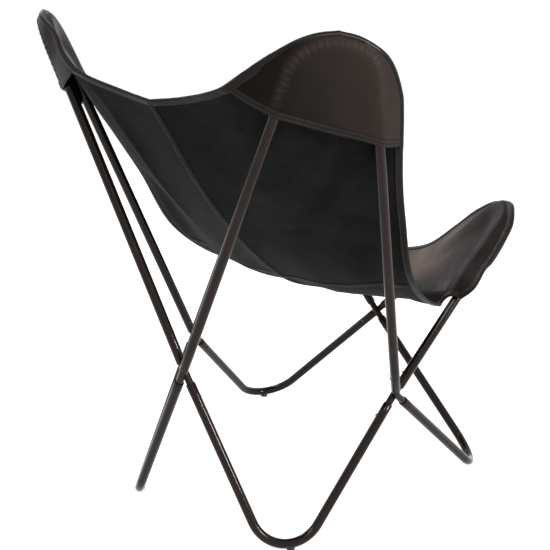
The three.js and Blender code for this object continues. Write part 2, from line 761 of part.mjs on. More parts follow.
// Assembly of the frame
for (const tube of tubes) {
  addPiece(`tube_${tube.name}`, toGeometry(tubeSolid(tube)), 'tube');
}
for (const crossName of Object.keys(crossings)) {
  const solid = rodSolid(crossName, 'near').add(rodSolid(crossName, 'far'));
  addPiece(`cross_${crossName}`, toGeometry(solid), 'cross');
}
for (const tube of tubes) {
  for (const button of tube.buttons) {
    addPiece(button.name, buttonGeometry(button), 'button');
  }
}
for (const tube of tubes.filter(({ foot }) => foot)) {
  addPiece(`glide_${tube.name}`, toGeometry(glideSolid(tube)), 'glide');
}

// Assembly of the sling
function addSheet(name, grid, thickness, side, finish) {
  addPiece(name, onSide(sheetGeometry(grid, thickness), side), finish);
}

for (const sideName of ['left', 'right']) {
  const half = new SlingHalf(sideName);
  const backGrid = panelGrid(half, backPanelT, backPanelRows);
  const seatGrid = panelGrid(half, seatPanelT, seatPanelRows);
  const backStrip = endStripGrid(backGrid.slice(0, stripRows + 1));
  const frontStrip = endStripGrid(seatGrid.slice(-stripRows - 1));
  addSheet(`sling_back_${sideName}`, backGrid, leatherThickness, half.side, 'panel');
  addSheet(`sling_seat_${sideName}`, seatGrid, leatherThickness, half.side, 'panel');
  addSheet(`pocket_back_${sideName}`, pocketGrid(half, half.back), pocketThickness, half.side, 'pocket');
  addSheet(`pocket_front_${sideName}`, pocketGrid(half, half.front), pocketThickness, half.side, 'pocket');
  addSheet(`strip_back_${sideName}`, backStrip, stripThickness, half.side, 'strip');
  addSheet(`strip_side_${sideName}`, sideStripGrid(backGrid, seatGrid), stripThickness, half.side, 'strip');
  addSheet(`strip_front_${sideName}`, frontStrip, stripThickness, half.side, 'strip');
}

// The origin is on the floor, in the middle of the space that the chair takes
const extent = new THREE.Box3().setFromObject(chair);
const centre = extent.getCenter(vec(0, 0, 0));
chair.position.set(-centre.x, -centre.y, -extent.min.z);
chair.updateMatrixWorld(true);

export default chair;
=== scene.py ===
"""Butterfly sling chair: a black leather sling on a knock-down frame of bent black tubes.

All in metres, in the CAD's frame.
"""

import math

import bpy
import numpy as np
from mathutils import Matrix, Vector
from mathutils.bvhtree import BVHTree


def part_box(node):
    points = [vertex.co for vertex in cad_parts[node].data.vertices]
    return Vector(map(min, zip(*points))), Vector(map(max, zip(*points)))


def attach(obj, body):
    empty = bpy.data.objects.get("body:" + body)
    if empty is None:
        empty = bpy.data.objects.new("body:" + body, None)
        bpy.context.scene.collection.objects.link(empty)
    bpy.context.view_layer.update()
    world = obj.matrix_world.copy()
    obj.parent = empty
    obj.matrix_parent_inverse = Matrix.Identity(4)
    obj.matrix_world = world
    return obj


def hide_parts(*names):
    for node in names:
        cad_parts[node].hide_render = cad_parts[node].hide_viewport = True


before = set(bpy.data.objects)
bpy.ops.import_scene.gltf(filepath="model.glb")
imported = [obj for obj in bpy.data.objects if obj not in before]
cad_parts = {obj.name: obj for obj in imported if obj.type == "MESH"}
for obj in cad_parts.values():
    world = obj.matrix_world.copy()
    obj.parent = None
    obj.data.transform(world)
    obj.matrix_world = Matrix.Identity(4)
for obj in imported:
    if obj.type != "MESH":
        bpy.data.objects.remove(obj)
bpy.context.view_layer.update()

# Sizes below are in millimetres, as on the chair's drawing
MM = 0.001

# Frame tube
TUBE_RADIUS = 8.0
TUBE_WALL = 1.4
TOP_BEND_RADIUS = 61.0
FOOT_BEND_RADIUS = 65.0
GLIDE_HEIGHT = 3.0

# Crossings
BACK_CROSS = np.array([0.0, 294.0, 291.0])
FRONT_CROSS = np.array([0.0, -296.0, 242.0])
SIDE_CROSS = np.array([229.5, 8.0, 217.0])
SIDE_BOW = 7.0
ROD_RADIUS = 6.2
ROD_OFFSET = 5.0
ROD_BEND_RADIUS = 40.0
SPIGOT_INSERT = 60.0
END_GAP = {"near": 18.0, "far": 14.5}
BEND_CLEARANCE = 12.0

# Corners
BACK_PEAK = np.array([348.0, 346.0, 1045.0])
FRONT_PEAK = np.array([311.0, -326.0, 566.0])
BACK_LEG = 586.0
FRONT_LEG = 333.0
BACK_FOOT = (175.0, 258.0)
FRONT_FOOT = (283.0, 271.0)

# Snap buttons, each on a spring leaf
BUTTON_DISTANCE = 44.0
BUTTON_RADIUS = 2.6
BUTTON_PROUD = 2.4
BUTTON_START = 3.6
BUTTON_DOME = 1.7
HOLE_RADIUS = 2.95
LEAF_SIZE = (5.0, 0.7, 24.0)
LEAF_DISTANCE = 3.2
LEAF_SHIFT = 8.5

# Weld beads and glides
BEAD_REACH = 5.2
BEAD_RADIUS = 1.3
BEAD_RIPPLES = 9
BEAD_RIPPLE = 0.05
GLIDE_RADIUS = 7.0
GLIDE_CUP = 3.5
GLIDE_FIT = 0.15

# Sling
LEATHER = 3.0
POCKET_LEATHER = 2.4
STRIP = 2.0
SHEET_GAP = 0.35
TUBE_CLEARANCE = 2.2
POCKET_MARGIN = 19.0
INNER_LIFT = 50.0
LIFT_BLEND = 4.0
SEAT_BELLY = 40.0
BACK_EDGE = (358.5, 742.0)
FRONT_EDGE = (339.0, 359.5)
OUTLINE_RADIUS = TOP_BEND_RADIUS + POCKET_MARGIN
SHEET_TO_TUBE = TUBE_RADIUS + TUBE_CLEARANCE + LEATHER / 2
POCKET_TO_TUBE = TUBE_RADIUS + TUBE_CLEARANCE + POCKET_LEATHER / 2
POCKET_LAYER = LEATHER / 2 + SHEET_GAP + POCKET_LEATHER / 2

MIDDLE_LINE = [
    (0.901, 0.938),
    (0.712, 0.813),
    (0.521, 0.709),
    (0.294, 0.606),
    (0.034, 0.517),
    (-0.264, 0.462),
    (-0.503, 0.421),
    (-0.751, 0.442),
]
BACK_EDGE_SHARES = [(0.172, 0.989, 1.012)]
SIDE_EDGE_SHARES = [
    (1.289, 0.444, 0.836),
    (1.222, 0.311, 0.747),
    (1.148, 0.111, 0.605),
    (1.077, -0.19, 0.51),
    (1.07, -0.432, 0.473),
]
FRONT_EDGE_SHARES = [(0.266, 1.019, 1.068)]
BACK_POCKET_MIDDLE = [
    (-1.842, 0.325, -0.398),
    (-1.503, -0.06, -0.228),
    (-1.049, -0.448, -0.188),
    (-0.567, -0.839, -0.012),
]
BACK_POCKET_OUTER = [
    (0.492, -0.836, 0.041),
    (0.95, -0.484, -0.037),
    (1.275, 0.149, -0.088),
    (1.389, 0.612, -0.14),
    (1.482, 1.224, -0.114),
]
FRONT_POCKET_MIDDLE = [
    (-1.768, 0.383, -0.062),
    (-1.309, -0.258, -0.068),
    (-0.87, -0.68, -0.026),
    (-0.494, -0.821, -0.006),
]
FRONT_POCKET_OUTER = [
    (0.463, -0.902, -0.06),
    (0.948, -0.645, -0.02),
    (1.235, -0.298, -0.008),
    (1.467, 0.12, 0),
    (1.64, 0.49, -0.024),
    (1.867, 0.937, -0.017),
]
POCKET_TIP = (0.0, -1.0, -0.02)
CROSS_SEAM = 0.55
HEM_ROUND = 1.46
BELLY_START = 0.3
BELLY_OUTWARD = 1.6

CROWDING = 1.7
PANEL_COLUMNS = 13
BACK_ROWS = 15
SEAT_ROWS = 16
POCKET_ROWS = 9


def crowd(u):
    return 1 - (1 - u) ** CROWDING


# shares of the sling's half width and length at which each pocket's hem meets the free edges
HEM_S = crowd(1 - POCKET_ROWS / PANEL_COLUMNS)
BACK_HEM_T = CROSS_SEAM * (1 - crowd(1 - POCKET_ROWS / BACK_ROWS))
SEAT_HEM_T = CROSS_SEAM + (1 - CROSS_SEAM) * crowd(1 - POCKET_ROWS / SEAT_ROWS)

# Leather trim: an edge binding folded over the rim, turned hems, seam tapes and their stitches
BINDING_WIDTH = 9.5
BINDING_THICKNESS = 1.1
STITCH_INSET = 7.6
HEM_WIDTH = 10.0
HEM_THICKNESS = 0.9
HEM_STITCHES = (2.2, 7.8)
SEAM_TAPE_THICKNESS = 0.9
CENTRE_TAPE_WIDTH = 10.0
CROSS_TAPE_WIDTH = 13.0
SEAM_CROWN = 0.2
TAPE_STITCH_INSET = 2.0
CROSS_STITCH_INSET = 2.2
STITCH_PITCH = 4.4
STITCH_LENGTH = 3.5
STITCH_RADIUS = 0.42
STITCH_RISE = 0.12
STITCH_SAG = 0.55
FLANGE = 3.0
LOOP_SINK = 2.2

# Folds that wear has left in the sheet: a line of shares across and along, then half width, crest and height
HALF_GIRTH = 360.0
SLING_LENGTH = 1010.0
FOLDS = {
    "left": [
        ([(0.4, 0.0), (0.33, 0.06), (0.3, 0.17), (0.31, 0.26), (0.345, 0.36), (0.42, 0.47)], 17.0, 2.5, 5.5),
        ([(0.62, 0.22), (0.6, 0.34), (0.62, 0.45)], 14.0, 6.0, 1.4),
        ([(0.12, 0.5), (0.3, 0.56), (0.52, 0.63)], 12.0, 5.0, 1.2),
        ([(0.35, 0.72), (0.5, 0.8), (0.62, 0.9)], 26.0, 12.0, -2.0),
    ],
    "right": [
        ([(0.42, 0.02), (0.36, 0.12), (0.34, 0.22), (0.38, 0.34)], 22.0, 8.0, 2.6),
        ([(0.1, 0.2), (0.3, 0.24), (0.55, 0.22), (0.72, 0.26)], 9.0, 4.0, 0.9),
        ([(0.2, 0.33), (0.45, 0.36), (0.7, 0.34)], 12.0, 5.0, -1.0),
        ([(0.66, 0.28), (0.6, 0.38), (0.63, 0.48)], 12.0, 5.0, 1.1),
        ([(0.34, 0.74), (0.5, 0.82), (0.6, 0.92)], 30.0, 14.0, -2.2),
    ],
}
WAVE_HEIGHT = 0.55
# how far the outline's corners are drawn in, and over what length
BACK_TIP_ROUNDING = 3.0
FRONT_TIP_ROUNDING = 5.0
TIP_REACH = 17.0
# folds die out towards the side edges, a little of them last, and towards the back and front edges
CALM_FROM = 0.55
CALM_BAND = 0.3
LAST_FOLDS = 0.35
LAST_FROM = 0.8
LAST_BAND = 0.15
CAP_BAND = 0.03

# Creases in each pocket: from and to, across and down from the bend's centre, then half width,
# crest and height
POCKET_CREASES = {
    ("back", "right"): [
        ((-97, -8), (-72, -29), 4.5, 1.5, 1.7),
        ((-84, -12), (-58, -38), 7.0, 3.0, -1.5),
        ((-60, -44), (-44, -58), 5.0, 1.5, 1.0),
        ((20, -12), (60, 60), 16.0, 8.0, -1.6),
        ((-30, 10), (-70, 30), 12.0, 6.0, 1.2),
    ],
    ("back", "left"): [
        ((-88, -10), (-66, -32), 5.0, 2.0, 1.4),
        ((25, 0), (64, 52), 14.0, 8.0, -1.4),
        ((-20, 20), (-60, 40), 12.0, 6.0, 1.2),
    ],
    ("front", "left"): [((-70, -20), (-45, -48), 5.0, 2.0, 1.2), ((10, 0), (50, 25), 12.0, 6.0, -1.2)],
    ("front", "right"): [((-76, -14), (-50, -44), 5.0, 2.0, 1.2), ((5, 5), (48, 22), 12.0, 6.0, -1.2)],
}
PUCKER_HEIGHT = 0.8
PUCKER_PITCH = 8.5
# where the pockets gather: from the tube's line, over what width, how far down, and clear of the seam
GATHER_AT = 7.0
GATHER_WIDTH = 5.5
GATHER_DEPTH = 40.0
GATHER_CLEAR = 12.0
LOOP_REACH = 40.0


def unit(a):
    return a / np.linalg.norm(a, axis=-1, keepdims=True)


def square_to(ways, other):
    """What is left of each way when its part along the other is taken out."""
    return ways - other * (ways * other).sum(-1, keepdims=True)


def mirrored(p):
    return p * np.array([-1.0, 1.0, 1.0])


def lerp(a, b, share):
    return a + (b - a) * share


def eased(x):
    """Runs smoothly from 0 to 1 as x does."""
    x = np.clip(x, 0, 1)
    return x * x * (3 - 2 * x)


def reach_along(line):
    """How far along a line each of its places is."""
    return np.concatenate([[0], np.cumsum(np.linalg.norm(np.diff(line, axis=0), axis=1))])


def read_at(wanted, known, values):
    """Reads rows of values, known at some distances, at the wanted distances."""
    return np.stack([np.interp(wanted, known, column) for column in values.T], -1)


class BentRun:
    """A tube's middle line: a straight leg, a bend of steady radius about a corner, and a straight leg."""

    def __init__(self, start, corner, end, radius):
        self.start, self.end, self.radius = start, end, radius
        self.first = unit(start - corner)
        self.second = unit(end - corner)
        self.half_angle = math.acos(float(self.first @ self.second)) / 2
        self.down = unit(self.first + self.second)
        self.normal = unit(np.cross(self.first, self.second))
        self.centre = corner + self.down * radius / math.sin(self.half_angle)
        tangent = radius / math.tan(self.half_angle)
        self.bend_start = corner + self.first * tangent
        self.bend_end = corner + self.second * tangent
        spoke = self.bend_start - self.centre
        other = self.bend_end - self.centre
        self.sweep = math.acos(float(unit(spoke) @ unit(other)))
        self.axis = unit(np.cross(spoke, other))

    def lowest(self):
        downward = np.array([0.0, 0.0, -1.0])
        flat = unit(downward - self.normal * (downward @ self.normal))
        return self.centre + flat * self.radius


CROSSINGS = {
    "back": {"at": BACK_CROSS, "inward": np.array([0.0, -1.0, 0.0])},
    "front": {"at": FRONT_CROSS, "inward": np.array([0.0, 1.0, 0.0])},
    "left": {"at": SIDE_CROSS, "inward": np.array([-1.0, 0.0, 0.0]), "bent": "near"},
    "right": {"at": mirrored(SIDE_CROSS), "inward": np.array([1.0, 0.0, 0.0]), "bent": "far"},
}


def rod_point(cross, layer):
    spot = CROSSINGS[cross]
    point = spot["at"] + spot["inward"] * (ROD_OFFSET if layer == "near" else -ROD_OFFSET)
    if layer == spot.get("bent"):
        point = point + np.array([0.0, SIDE_BOW, SIDE_BOW])
    return point


SETTLE_STEPS = 30


def standing_corner(half_width, depth, a, b):
    corner = np.array([half_width, depth, 0.0])
    for _ in range(SETTLE_STEPS):
        corner[2] -= BentRun(a, corner, b, FOOT_BEND_RADIUS).lowest()[2] - (GLIDE_HEIGHT + TUBE_RADIUS)
    return corner


def spring_corner(peak, a, b, leg):
    corner = peak.copy()
    for _ in range(SETTLE_STEPS):
        run = BentRun(a, corner, b, TOP_BEND_RADIUS)
        legs = (np.linalg.norm(corner - a) + np.linalg.norm(corner - b)) / 2
        corner = corner + run.down * (legs - TOP_BEND_RADIUS / math.tan(run.half_angle) - leg)
    return corner


TUBES = {
    "top_back_left": {"peak": BACK_PEAK, "leg": BACK_LEG, "ends": [("back", "near"), ("left", "near")]},
    "top_back_right": {
        "peak": mirrored(BACK_PEAK),
        "leg": BACK_LEG,
        "ends": [("back", "far"), ("right", "far")],
    },
    "top_front_left": {"peak": FRONT_PEAK, "leg": FRONT_LEG, "ends": [("front", "near"), ("left", "far")]},
    "top_front_right": {
        "peak": mirrored(FRONT_PEAK),
        "leg": FRONT_LEG,
        "ends": [("front", "far"), ("right", "near")],
    },
    "foot_back_left": {"foot": (1, 1, BACK_FOOT), "ends": [("back", "far"), ("left", "far")]},
    "foot_back_right": {"foot": (-1, 1, BACK_FOOT), "ends": [("back", "near"), ("right", "near")]},
    "foot_front_left": {"foot": (1, -1, FRONT_FOOT), "ends": [("front", "far"), ("left", "near")]},
    "foot_front_right": {"foot": (-1, -1, FRONT_FOOT), "ends": [("front", "near"), ("right", "far")]},
}

for tube in TUBES.values():
    hubs = [rod_point(cross, layer) for cross, layer in tube["ends"]]
    if "foot" in tube:
        across, along, foot = tube["foot"]
        tube["radius"] = FOOT_BEND_RADIUS
        tube["corner"] = standing_corner(across * foot[0], along * foot[1], hubs[0], hubs[1])
    else:
        tube["radius"] = TOP_BEND_RADIUS
        tube["corner"] = spring_corner(tube["peak"], hubs[0], hubs[1], tube["leg"])
    tube["hubs"] = hubs
    tube["arms"] = [unit(tube["corner"] - hub) for hub in hubs]
    tube["mouths"], tube["buttons"] = [], []
    for (cross, layer), hub, arm in zip(tube["ends"], hubs, tube["arms"]):
        from_hub = float((CROSSINGS[cross]["at"] - hub) @ arm)
        inward = CROSSINGS[cross]["inward"]
        tube["mouths"].append(max(from_hub + END_GAP[layer], BEND_CLEARANCE))
        tube["buttons"].append(
            {
                "cross": cross,
                "at": hub + arm * (from_hub + BUTTON_DISTANCE),
                "outward": unit(inward - arm * (inward @ arm)),
                "along": arm,
            }
        )
    mouths = [hub + arm * mouth for hub, arm, mouth in zip(hubs, tube["arms"], tube["mouths"])]
    tube["run"] = BentRun(mouths[0], tube["corner"], mouths[1], tube["radius"])


def drawing_origin():
    """Where the drawing's origin lies in the row frame, read from the place of one glide."""
    low = TUBES["foot_back_left"]["run"].lowest()
    glide = np.array(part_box("glide_foot_back_left")).mean(0) / MM
    return np.array([glide[0] - low[0], glide[1] - low[1], 0.0])


CENTRING = drawing_origin()


def in_row(points):
    """Drawing millimetres to metres in the row frame."""
    return (np.asarray(points, float) + CENTRING) * MM


# Work in Blender's own tools


def deselect():
    if bpy.context.object and bpy.context.object.mode != "OBJECT":
        close_edit()
    bpy.ops.object.select_all(action="DESELECT")


def take(obj, *others):
    """Selects a piece, and others after it, with the first one active."""
    deselect()
    bpy.context.view_layer.objects.active = obj
    for chosen in (obj, *others):
        chosen.select_set(True)


def open_whole():
    """Opens the active piece in edit mode with everything selected."""
    bpy.ops.object.mode_set(mode="EDIT")
    bpy.ops.mesh.select_mode(type="VERT")
    bpy.ops.mesh.select_all(action="SELECT")


def close_edit():
    bpy.ops.object.mode_set(mode="OBJECT")


def joined(obj, *others):
    take(obj, *others)
    bpy.ops.object.join()


def named(obj, name):
    obj.name = name
    obj.data.name = name
    return obj


def placed():
    """The piece just added, with its place and turn worked into its shape."""
    bpy.ops.object.transform_apply(location=True, rotation=True, scale=True)
    return bpy.context.object


def modify(obj, kind, **settings):
    take(obj)
    modifier = obj.modifiers.new(kind.title(), kind)
    for key, value in settings.items():
        setattr(modifier, key, value)
    bpy.ops.object.modifier_apply(modifier=modifier.name)


def round_edges(obj, width, segments):
    """Rounds the sharp edges of a piece."""
    settings = {"limit_method": "ANGLE", "angle_limit": math.radians(60)}
    modify(obj, "BEVEL", width=width * MM, segments=segments, **settings)


def smoothed(obj, degrees=35):
    take(obj)
    bpy.ops.object.shade_smooth_by_angle(angle=math.radians(degrees))


def turned_to(direction):
    return Vector(direction).to_track_quat("Z", "Y").to_euler()


def cylinder(start, end, radius, sides):
    """A closed cylinder between two points of the row frame, in metres."""
    deselect()
    start, end = Vector(start), Vector(end)
    bpy.ops.mesh.primitive_cylinder_add(
        vertices=sides,
        radius=radius,
        depth=(end - start).length,
        location=(start + end) / 2,
        rotation=turned_to(end - start),
    )
    return placed()


# a leg's rings stand closer together towards its ends
LEG_SHARES = (0.08, 0.14, 0.28, 0.28, 0.14, 0.08)


def swept(run, radius, sides, bend_steps):
    """An open tube wall along a bent run, made from one ring by extruding and spinning it."""
    deselect()
    start = Vector(in_row(run.start))
    bpy.ops.mesh.primitive_circle_add(
        vertices=sides, radius=radius * MM, location=start, rotation=turned_to(-run.first)
    )
    obj = placed()
    open_whole()
    for a, b in ((run.start, run.bend_start), (run.bend_end, run.end)):
        whole = Vector((b - a) * MM)
        for share in LEG_SHARES:
            bpy.ops.mesh.extrude_region_move(TRANSFORM_OT_translate={"value": whole * share})
        if a is run.start:
            centre = Vector(in_row(run.centre))
            bpy.ops.mesh.spin(steps=bend_steps, angle=-run.sweep, center=centre, axis=Vector(run.axis))
    bpy.ops.mesh.select_all(action="SELECT")
    bpy.ops.mesh.remove_doubles(threshold=0.00001)
    close_edit()
    face = obj.data.polygons[0]
    along = Vector(-run.first)
    spoke = face.center - start
    if face.normal.dot(spoke - along * spoke.dot(along)) < 0:
        open_whole()
        bpy.ops.mesh.flip_normals()
        close_edit()
    return obj


def close_ends(obj):
    take(obj)
    open_whole()
    bpy.ops.mesh.select_all(action="DESELECT")
    bpy.ops.mesh.select_non_manifold()
    bpy.ops.mesh.fill_holes(sides=0)
    bpy.ops.mesh.select_all(action="SELECT")
    bpy.ops.mesh.normals_make_consistent(inside=False)
    close_edit()


def cut(obj, cutter):
    modify(obj, "BOOLEAN", operation="DIFFERENCE", object=cutter, solver="EXACT")
    bpy.data.objects.remove(cutter)


def button_hole(button):
    start = in_row(button["at"])
    end = in_row(button["at"] + button["outward"] * 2 * TUBE_RADIUS)
    return cylinder(start, end, HOLE_RADIUS * MM, 24)


# Materials


class Nodes:
    """A short way to write a node tree."""

    def __init__(self, tree):
        self.tree = tree

    def add(self, kind, inputs=None, **settings):
        node = self.tree.nodes.new(kind)
        for key, value in settings.items():
            setattr(node, key, value)
        for key, value in (inputs or {}).items():
            self.feed(node.inputs[key], value)
        return node

    def feed(self, socket, value):
        if isinstance(value, bpy.types.NodeSocket):
            self.tree.links.new(value, socket)
        else:
            socket.default_value = value

    def math(self, operation, *values):
        return self.add("ShaderNodeMath", dict(enumerate(values)), operation=operation).outputs[0]

    def ramp(self, value, low, high, to_low=0.0, to_high=1.0):
        spans = {"Value": value, "From Min": low, "From Max": high, "To Min": to_low, "To Max": to_high}
        return self.add("ShaderNodeMapRange", spans, clamp=True, interpolation_type="SMOOTHSTEP").outputs[0]

    def noise(self, vector, scale, detail=3.0, roughness=0.5):
        settings = {"Vector": vector, "Scale": scale, "Detail": detail, "Roughness": roughness}
        return self.add("ShaderNodeTexNoise", settings).outputs["Fac"]

    def cells(self, vector, scale, feature):
        settings = {"Vector": vector, "Scale": scale}
        return self.add("ShaderNodeTexVoronoi", settings, feature=feature).outputs["Distance"]

    def colour(self, share, low, high):
        node = self.add("ShaderNodeMix", data_type="RGBA")
        for key, value in ((0, share), (6, low), (7, high)):
            self.feed(node.inputs[key], (*value, 1) if isinstance(value, tuple) else value)
        return node.outputs[2]

    def attribute(self, name):
        return self.add("ShaderNodeAttribute", attribute_name=name).outputs["Fac"]

    def group(self, tree, **values):
        return self.add("ShaderNodeGroup", values, node_tree=tree).outputs


class Finish(Nodes):
    """A material with its shader, and its place on the object to draw patterns by."""

    def __init__(self, name, colour, preview_roughness):
        self.material = bpy.data.materials.new(name)
        self.material.use_nodes = True
        self.material.diffuse_color = (*colour, 1.0)
        self.material.roughness = preview_roughness
        super().__init__(self.material.node_tree)
        self.shader = self.tree.nodes["Principled BSDF"]
        self.place = self.add("ShaderNodeTexCoord").outputs["Object"]

    def dress(self, height, strength, distance, **values):
        """Feeds the shader's sockets and its relief, and gives the material."""
        for key, value in values.items():
            self.feed(self.shader.inputs[key.replace("_", " ")], value)
        bump = self.add("ShaderNodeBump", {"Strength": strength, "Distance": distance, "Height": height})
        self.feed(self.shader.inputs["Normal"], bump.outputs["Normal"])
        return self.material


def new_group(name, inputs, outputs):
    """A group whose inputs and outputs are numbers, apart from an input named Vector."""
    tree = bpy.data.node_groups.new(name, "ShaderNodeTree")
    for way, titles in (("INPUT", inputs), ("OUTPUT", outputs)):
        for title in titles:
            kind = "NodeSocketVector" if title == "Vector" else "NodeSocketFloat"
            tree.interface.new_socket(name=title, in_out=way, socket_type=kind)
    nodes = Nodes(tree)
    return nodes, nodes.add("NodeGroupInput").outputs, nodes.add("NodeGroupOutput").inputs


def make_hide_grain():
    """Leather grain: pebbles and creases as a height, and cloudy tone that handling leaves."""
    outputs = ["Height", "Tone", "Handling"]
    nodes, given, out = new_group("hide_grain", ["Vector", "Pebble", "Crease"], outputs)
    flat = given["Vector"]
    bent = nodes.add("ShaderNodeTexNoise", {"Vector": flat, "Scale": 260.0, "Detail": 2.0}).outputs["Color"]
    moved = nodes.add("ShaderNodeVectorMath", {0: bent, 1: (0.0016, 0.0016, 0.0016)}, operation="MULTIPLY")
    place = nodes.add("ShaderNodeVectorMath", {0: flat, 1: moved.outputs[0]}, operation="ADD").outputs[0]
    pebbles = nodes.math("SUBTRACT", 1.0, nodes.cells(place, 720.0, "SMOOTH_F1"))
    creases = nodes.ramp(nodes.cells(place, 210.0, "DISTANCE_TO_EDGE"), 0.0, 0.09)
    pebble_height = nodes.math("MULTIPLY", pebbles, given["Pebble"])
    height = nodes.math("ADD", pebble_height, nodes.math("MULTIPLY", creases, given["Crease"]))
    pores = nodes.math("MULTIPLY", nodes.noise(flat, 1500.0, 2.0), 0.12)
    nodes.feed(out["Height"], nodes.math("ADD", height, pores))
    clouds = nodes.math("MULTIPLY", nodes.noise(flat, 14.0, 4.0, 0.55), 0.65)
    patches = nodes.math("MULTIPLY", nodes.noise(flat, 45.0, 3.0, 0.6), 0.35)
    nodes.feed(out["Tone"], nodes.ramp(nodes.math("ADD", clouds, patches), 0.36, 0.64))
    nodes.feed(out["Handling"], nodes.ramp(nodes.noise(flat, 26.0, 5.0, 0.62), 0.42, 0.72))
    return nodes.tree


def make_sewn_line():
    """Where thread pulls the leather down: a groove along an edge, puckered at each stitch."""
    nodes, given, out = new_group("sewn_line", ["Distance", "Along", "At", "Width", "Pitch"], ["Dip"])
    off = nodes.math("ABSOLUTE", nodes.math("SUBTRACT", given["Distance"], given["At"]))
    groove = nodes.ramp(off, 0.0, given["Width"], 1.0, 0.0)
    turn = nodes.math("MULTIPLY", nodes.math("DIVIDE", given["Along"], given["Pitch"]), 2 * math.pi)
    pucker = nodes.math("ADD", nodes.math("MULTIPLY", nodes.math("COSINE", turn), 0.3), 0.7)
    nodes.feed(out["Dip"], nodes.math("MULTIPLY", groove, pucker))
    return nodes.tree


HIDE_GRAIN = make_hide_grain()
SEWN_LINE = make_sewn_line()
GRAIN_DEPTH = 0.00012
SEWN_DEPTH = 0.0007
SEWN_WIDTH = 1.7


def make_leather(name, dark, light, rough, sewn=(), gloss=0.08, painted_side_light=None, rubbed_and_highlight=None):
    """Smooth black-brown leather with its grain outwards. Sewn is a list of line distances from the edge.

    The colour given for the chair's sides is painted light, mixed in towards them, and the last colour is a
    painted highlight, laid on where the sheet's highlight attribute is high.
    """
    nodes = Finish(name, light, 0.45)
    grain = nodes.group(HIDE_GRAIN, Vector=nodes.place, Pebble=0.5, Crease=0.35)
    handling = grain["Handling"]
    colour = nodes.colour(grain["Tone"], dark, light)
    # painted light: lighter and browner towards the chair's sides
    if painted_side_light:
        across = nodes.add("ShaderNodeSeparateXYZ", {"Vector": nodes.place}).outputs["X"]
        colour = nodes.colour(nodes.ramp(nodes.math("ABSOLUTE", across), 0.2, 0.34, 0.0, 0.8), colour, painted_side_light)
    # painted highlight: its colour mixed in, in patches, where the sheet's highlight attribute is high
    if rubbed_and_highlight:
        patches = nodes.ramp(handling, 0.1, 0.9, 0.75, 1.0)
        colour = nodes.colour(nodes.math("MULTIPLY", nodes.attribute("painted_highlight"), patches), colour, rubbed_and_highlight)
    height = nodes.math("MULTIPLY", grain["Height"], GRAIN_DEPTH)
    for at in sewn:
        line = nodes.group(
            SEWN_LINE,
            Distance=nodes.attribute("trim_across"),
            Along=nodes.attribute("trim_along"),
            At=at * MM,
            Width=SEWN_WIDTH * MM,
            Pitch=STITCH_PITCH * MM,
        )
        height = nodes.math("SUBTRACT", height, nodes.math("MULTIPLY", line["Dip"], SEWN_DEPTH))
    roughness = nodes.ramp(handling, 0.0, 1.0, rough - 0.05, rough + 0.07)
    return nodes.dress(height, 1.0, 1.0, Base_Color=colour, Roughness=roughness, Specular_IOR_Level=gloss)


def make_suede():
    """The flesh side of the hide: short dense nap, brushed in patches."""
    nodes = Finish("flesh_side", (0.02, 0.02, 0.022), 0.9)
    nap = nodes.noise(nodes.place, 1400.0, 4.0, 0.75)
    brushed = nodes.ramp(nodes.noise(nodes.place, 19.0, 5.0, 0.6), 0.35, 0.68)
    flecks = nodes.ramp(nodes.noise(nodes.place, 420.0, 3.0, 0.7), 0.5, 0.75)
    soft = nodes.colour(brushed, (0.0036, 0.0037, 0.0038), (0.0092, 0.0093, 0.0099))
    height = nodes.math("ADD", nodes.math("MULTIPLY", nap, 0.0003), nodes.math("MULTIPLY", flecks, 0.00018))
    return nodes.dress(
        height,
        0.8,
        1.0,
        Base_Color=nodes.colour(nodes.math("MULTIPLY", flecks, 0.35), soft, (0.017, 0.0172, 0.0184)),
        Roughness=nodes.ramp(nap, 0.3, 0.7, 0.62, 0.82),
        Specular_IOR_Level=0.05,
        Sheen_Weight=0.015,
        Sheen_Roughness=0.5,
        Sheen_Tint=(0.7, 0.74, 0.85, 1),
    )


def make_fibrous(name, preview, fine, dark, light, smooth, rough, strength):
    """Fine fibres: the hide's dyed and burnished cut edge, or bonded sewing thread."""
    nodes = Finish(name, preview, 0.55)
    fibres = nodes.noise(nodes.place, *fine)
    colour = nodes.colour(fibres, dark, light)
    roughness = nodes.ramp(fibres, 0.3, 0.7, smooth, rough)
    return nodes.dress(fibres, strength, 0.0002, Base_Color=colour, Roughness=roughness)


def make_powder_coat(name, dark, light, rough):
    """Black powder coat: faint orange peel, dulled a little by dust."""
    nodes = Finish(name, light, 0.35)
    peel = nodes.math("MULTIPLY", nodes.noise(nodes.place, 620.0, 2.0, 0.5), 0.00003)
    flow = nodes.math("MULTIPLY", nodes.noise(nodes.place, 95.0, 2.0, 0.5), 0.00004)
    dust = nodes.ramp(nodes.noise(nodes.place, 30.0, 6.0, 0.7), 0.48, 0.72)
    return nodes.dress(
        nodes.math("ADD", peel, flow),
        1.0,
        1.0,
        Base_Color=nodes.colour(dust, dark, light),
        Roughness=nodes.ramp(dust, 0.0, 1.0, rough - 0.03, rough + 0.08),
        Specular_IOR_Level=0.2,
        Specular_Tint=(1.0, 0.84, 0.76, 1.0),
    )


def make_button_metal():
    """Darkened spring steel, rubbed brighter where the tube slides over it."""
    nodes = Finish("blackened_steel", (0.06, 0.06, 0.058), 0.3)
    rubbed_and_highlight = nodes.ramp(nodes.noise(nodes.place, 700.0, 4.0, 0.6), 0.45, 0.7)
    return nodes.dress(
        nodes.noise(nodes.place, 3000.0, 2.0),
        0.3,
        0.00005,
        Base_Color=nodes.colour(rubbed_and_highlight, (0.035, 0.034, 0.033), (0.12, 0.118, 0.112)),
        Roughness=nodes.ramp(rubbed_and_highlight, 0.0, 1.0, 0.38, 0.26),
        Metallic=nodes.ramp(rubbed_and_highlight, 0.0, 1.0, 0.75, 0.95),
    )


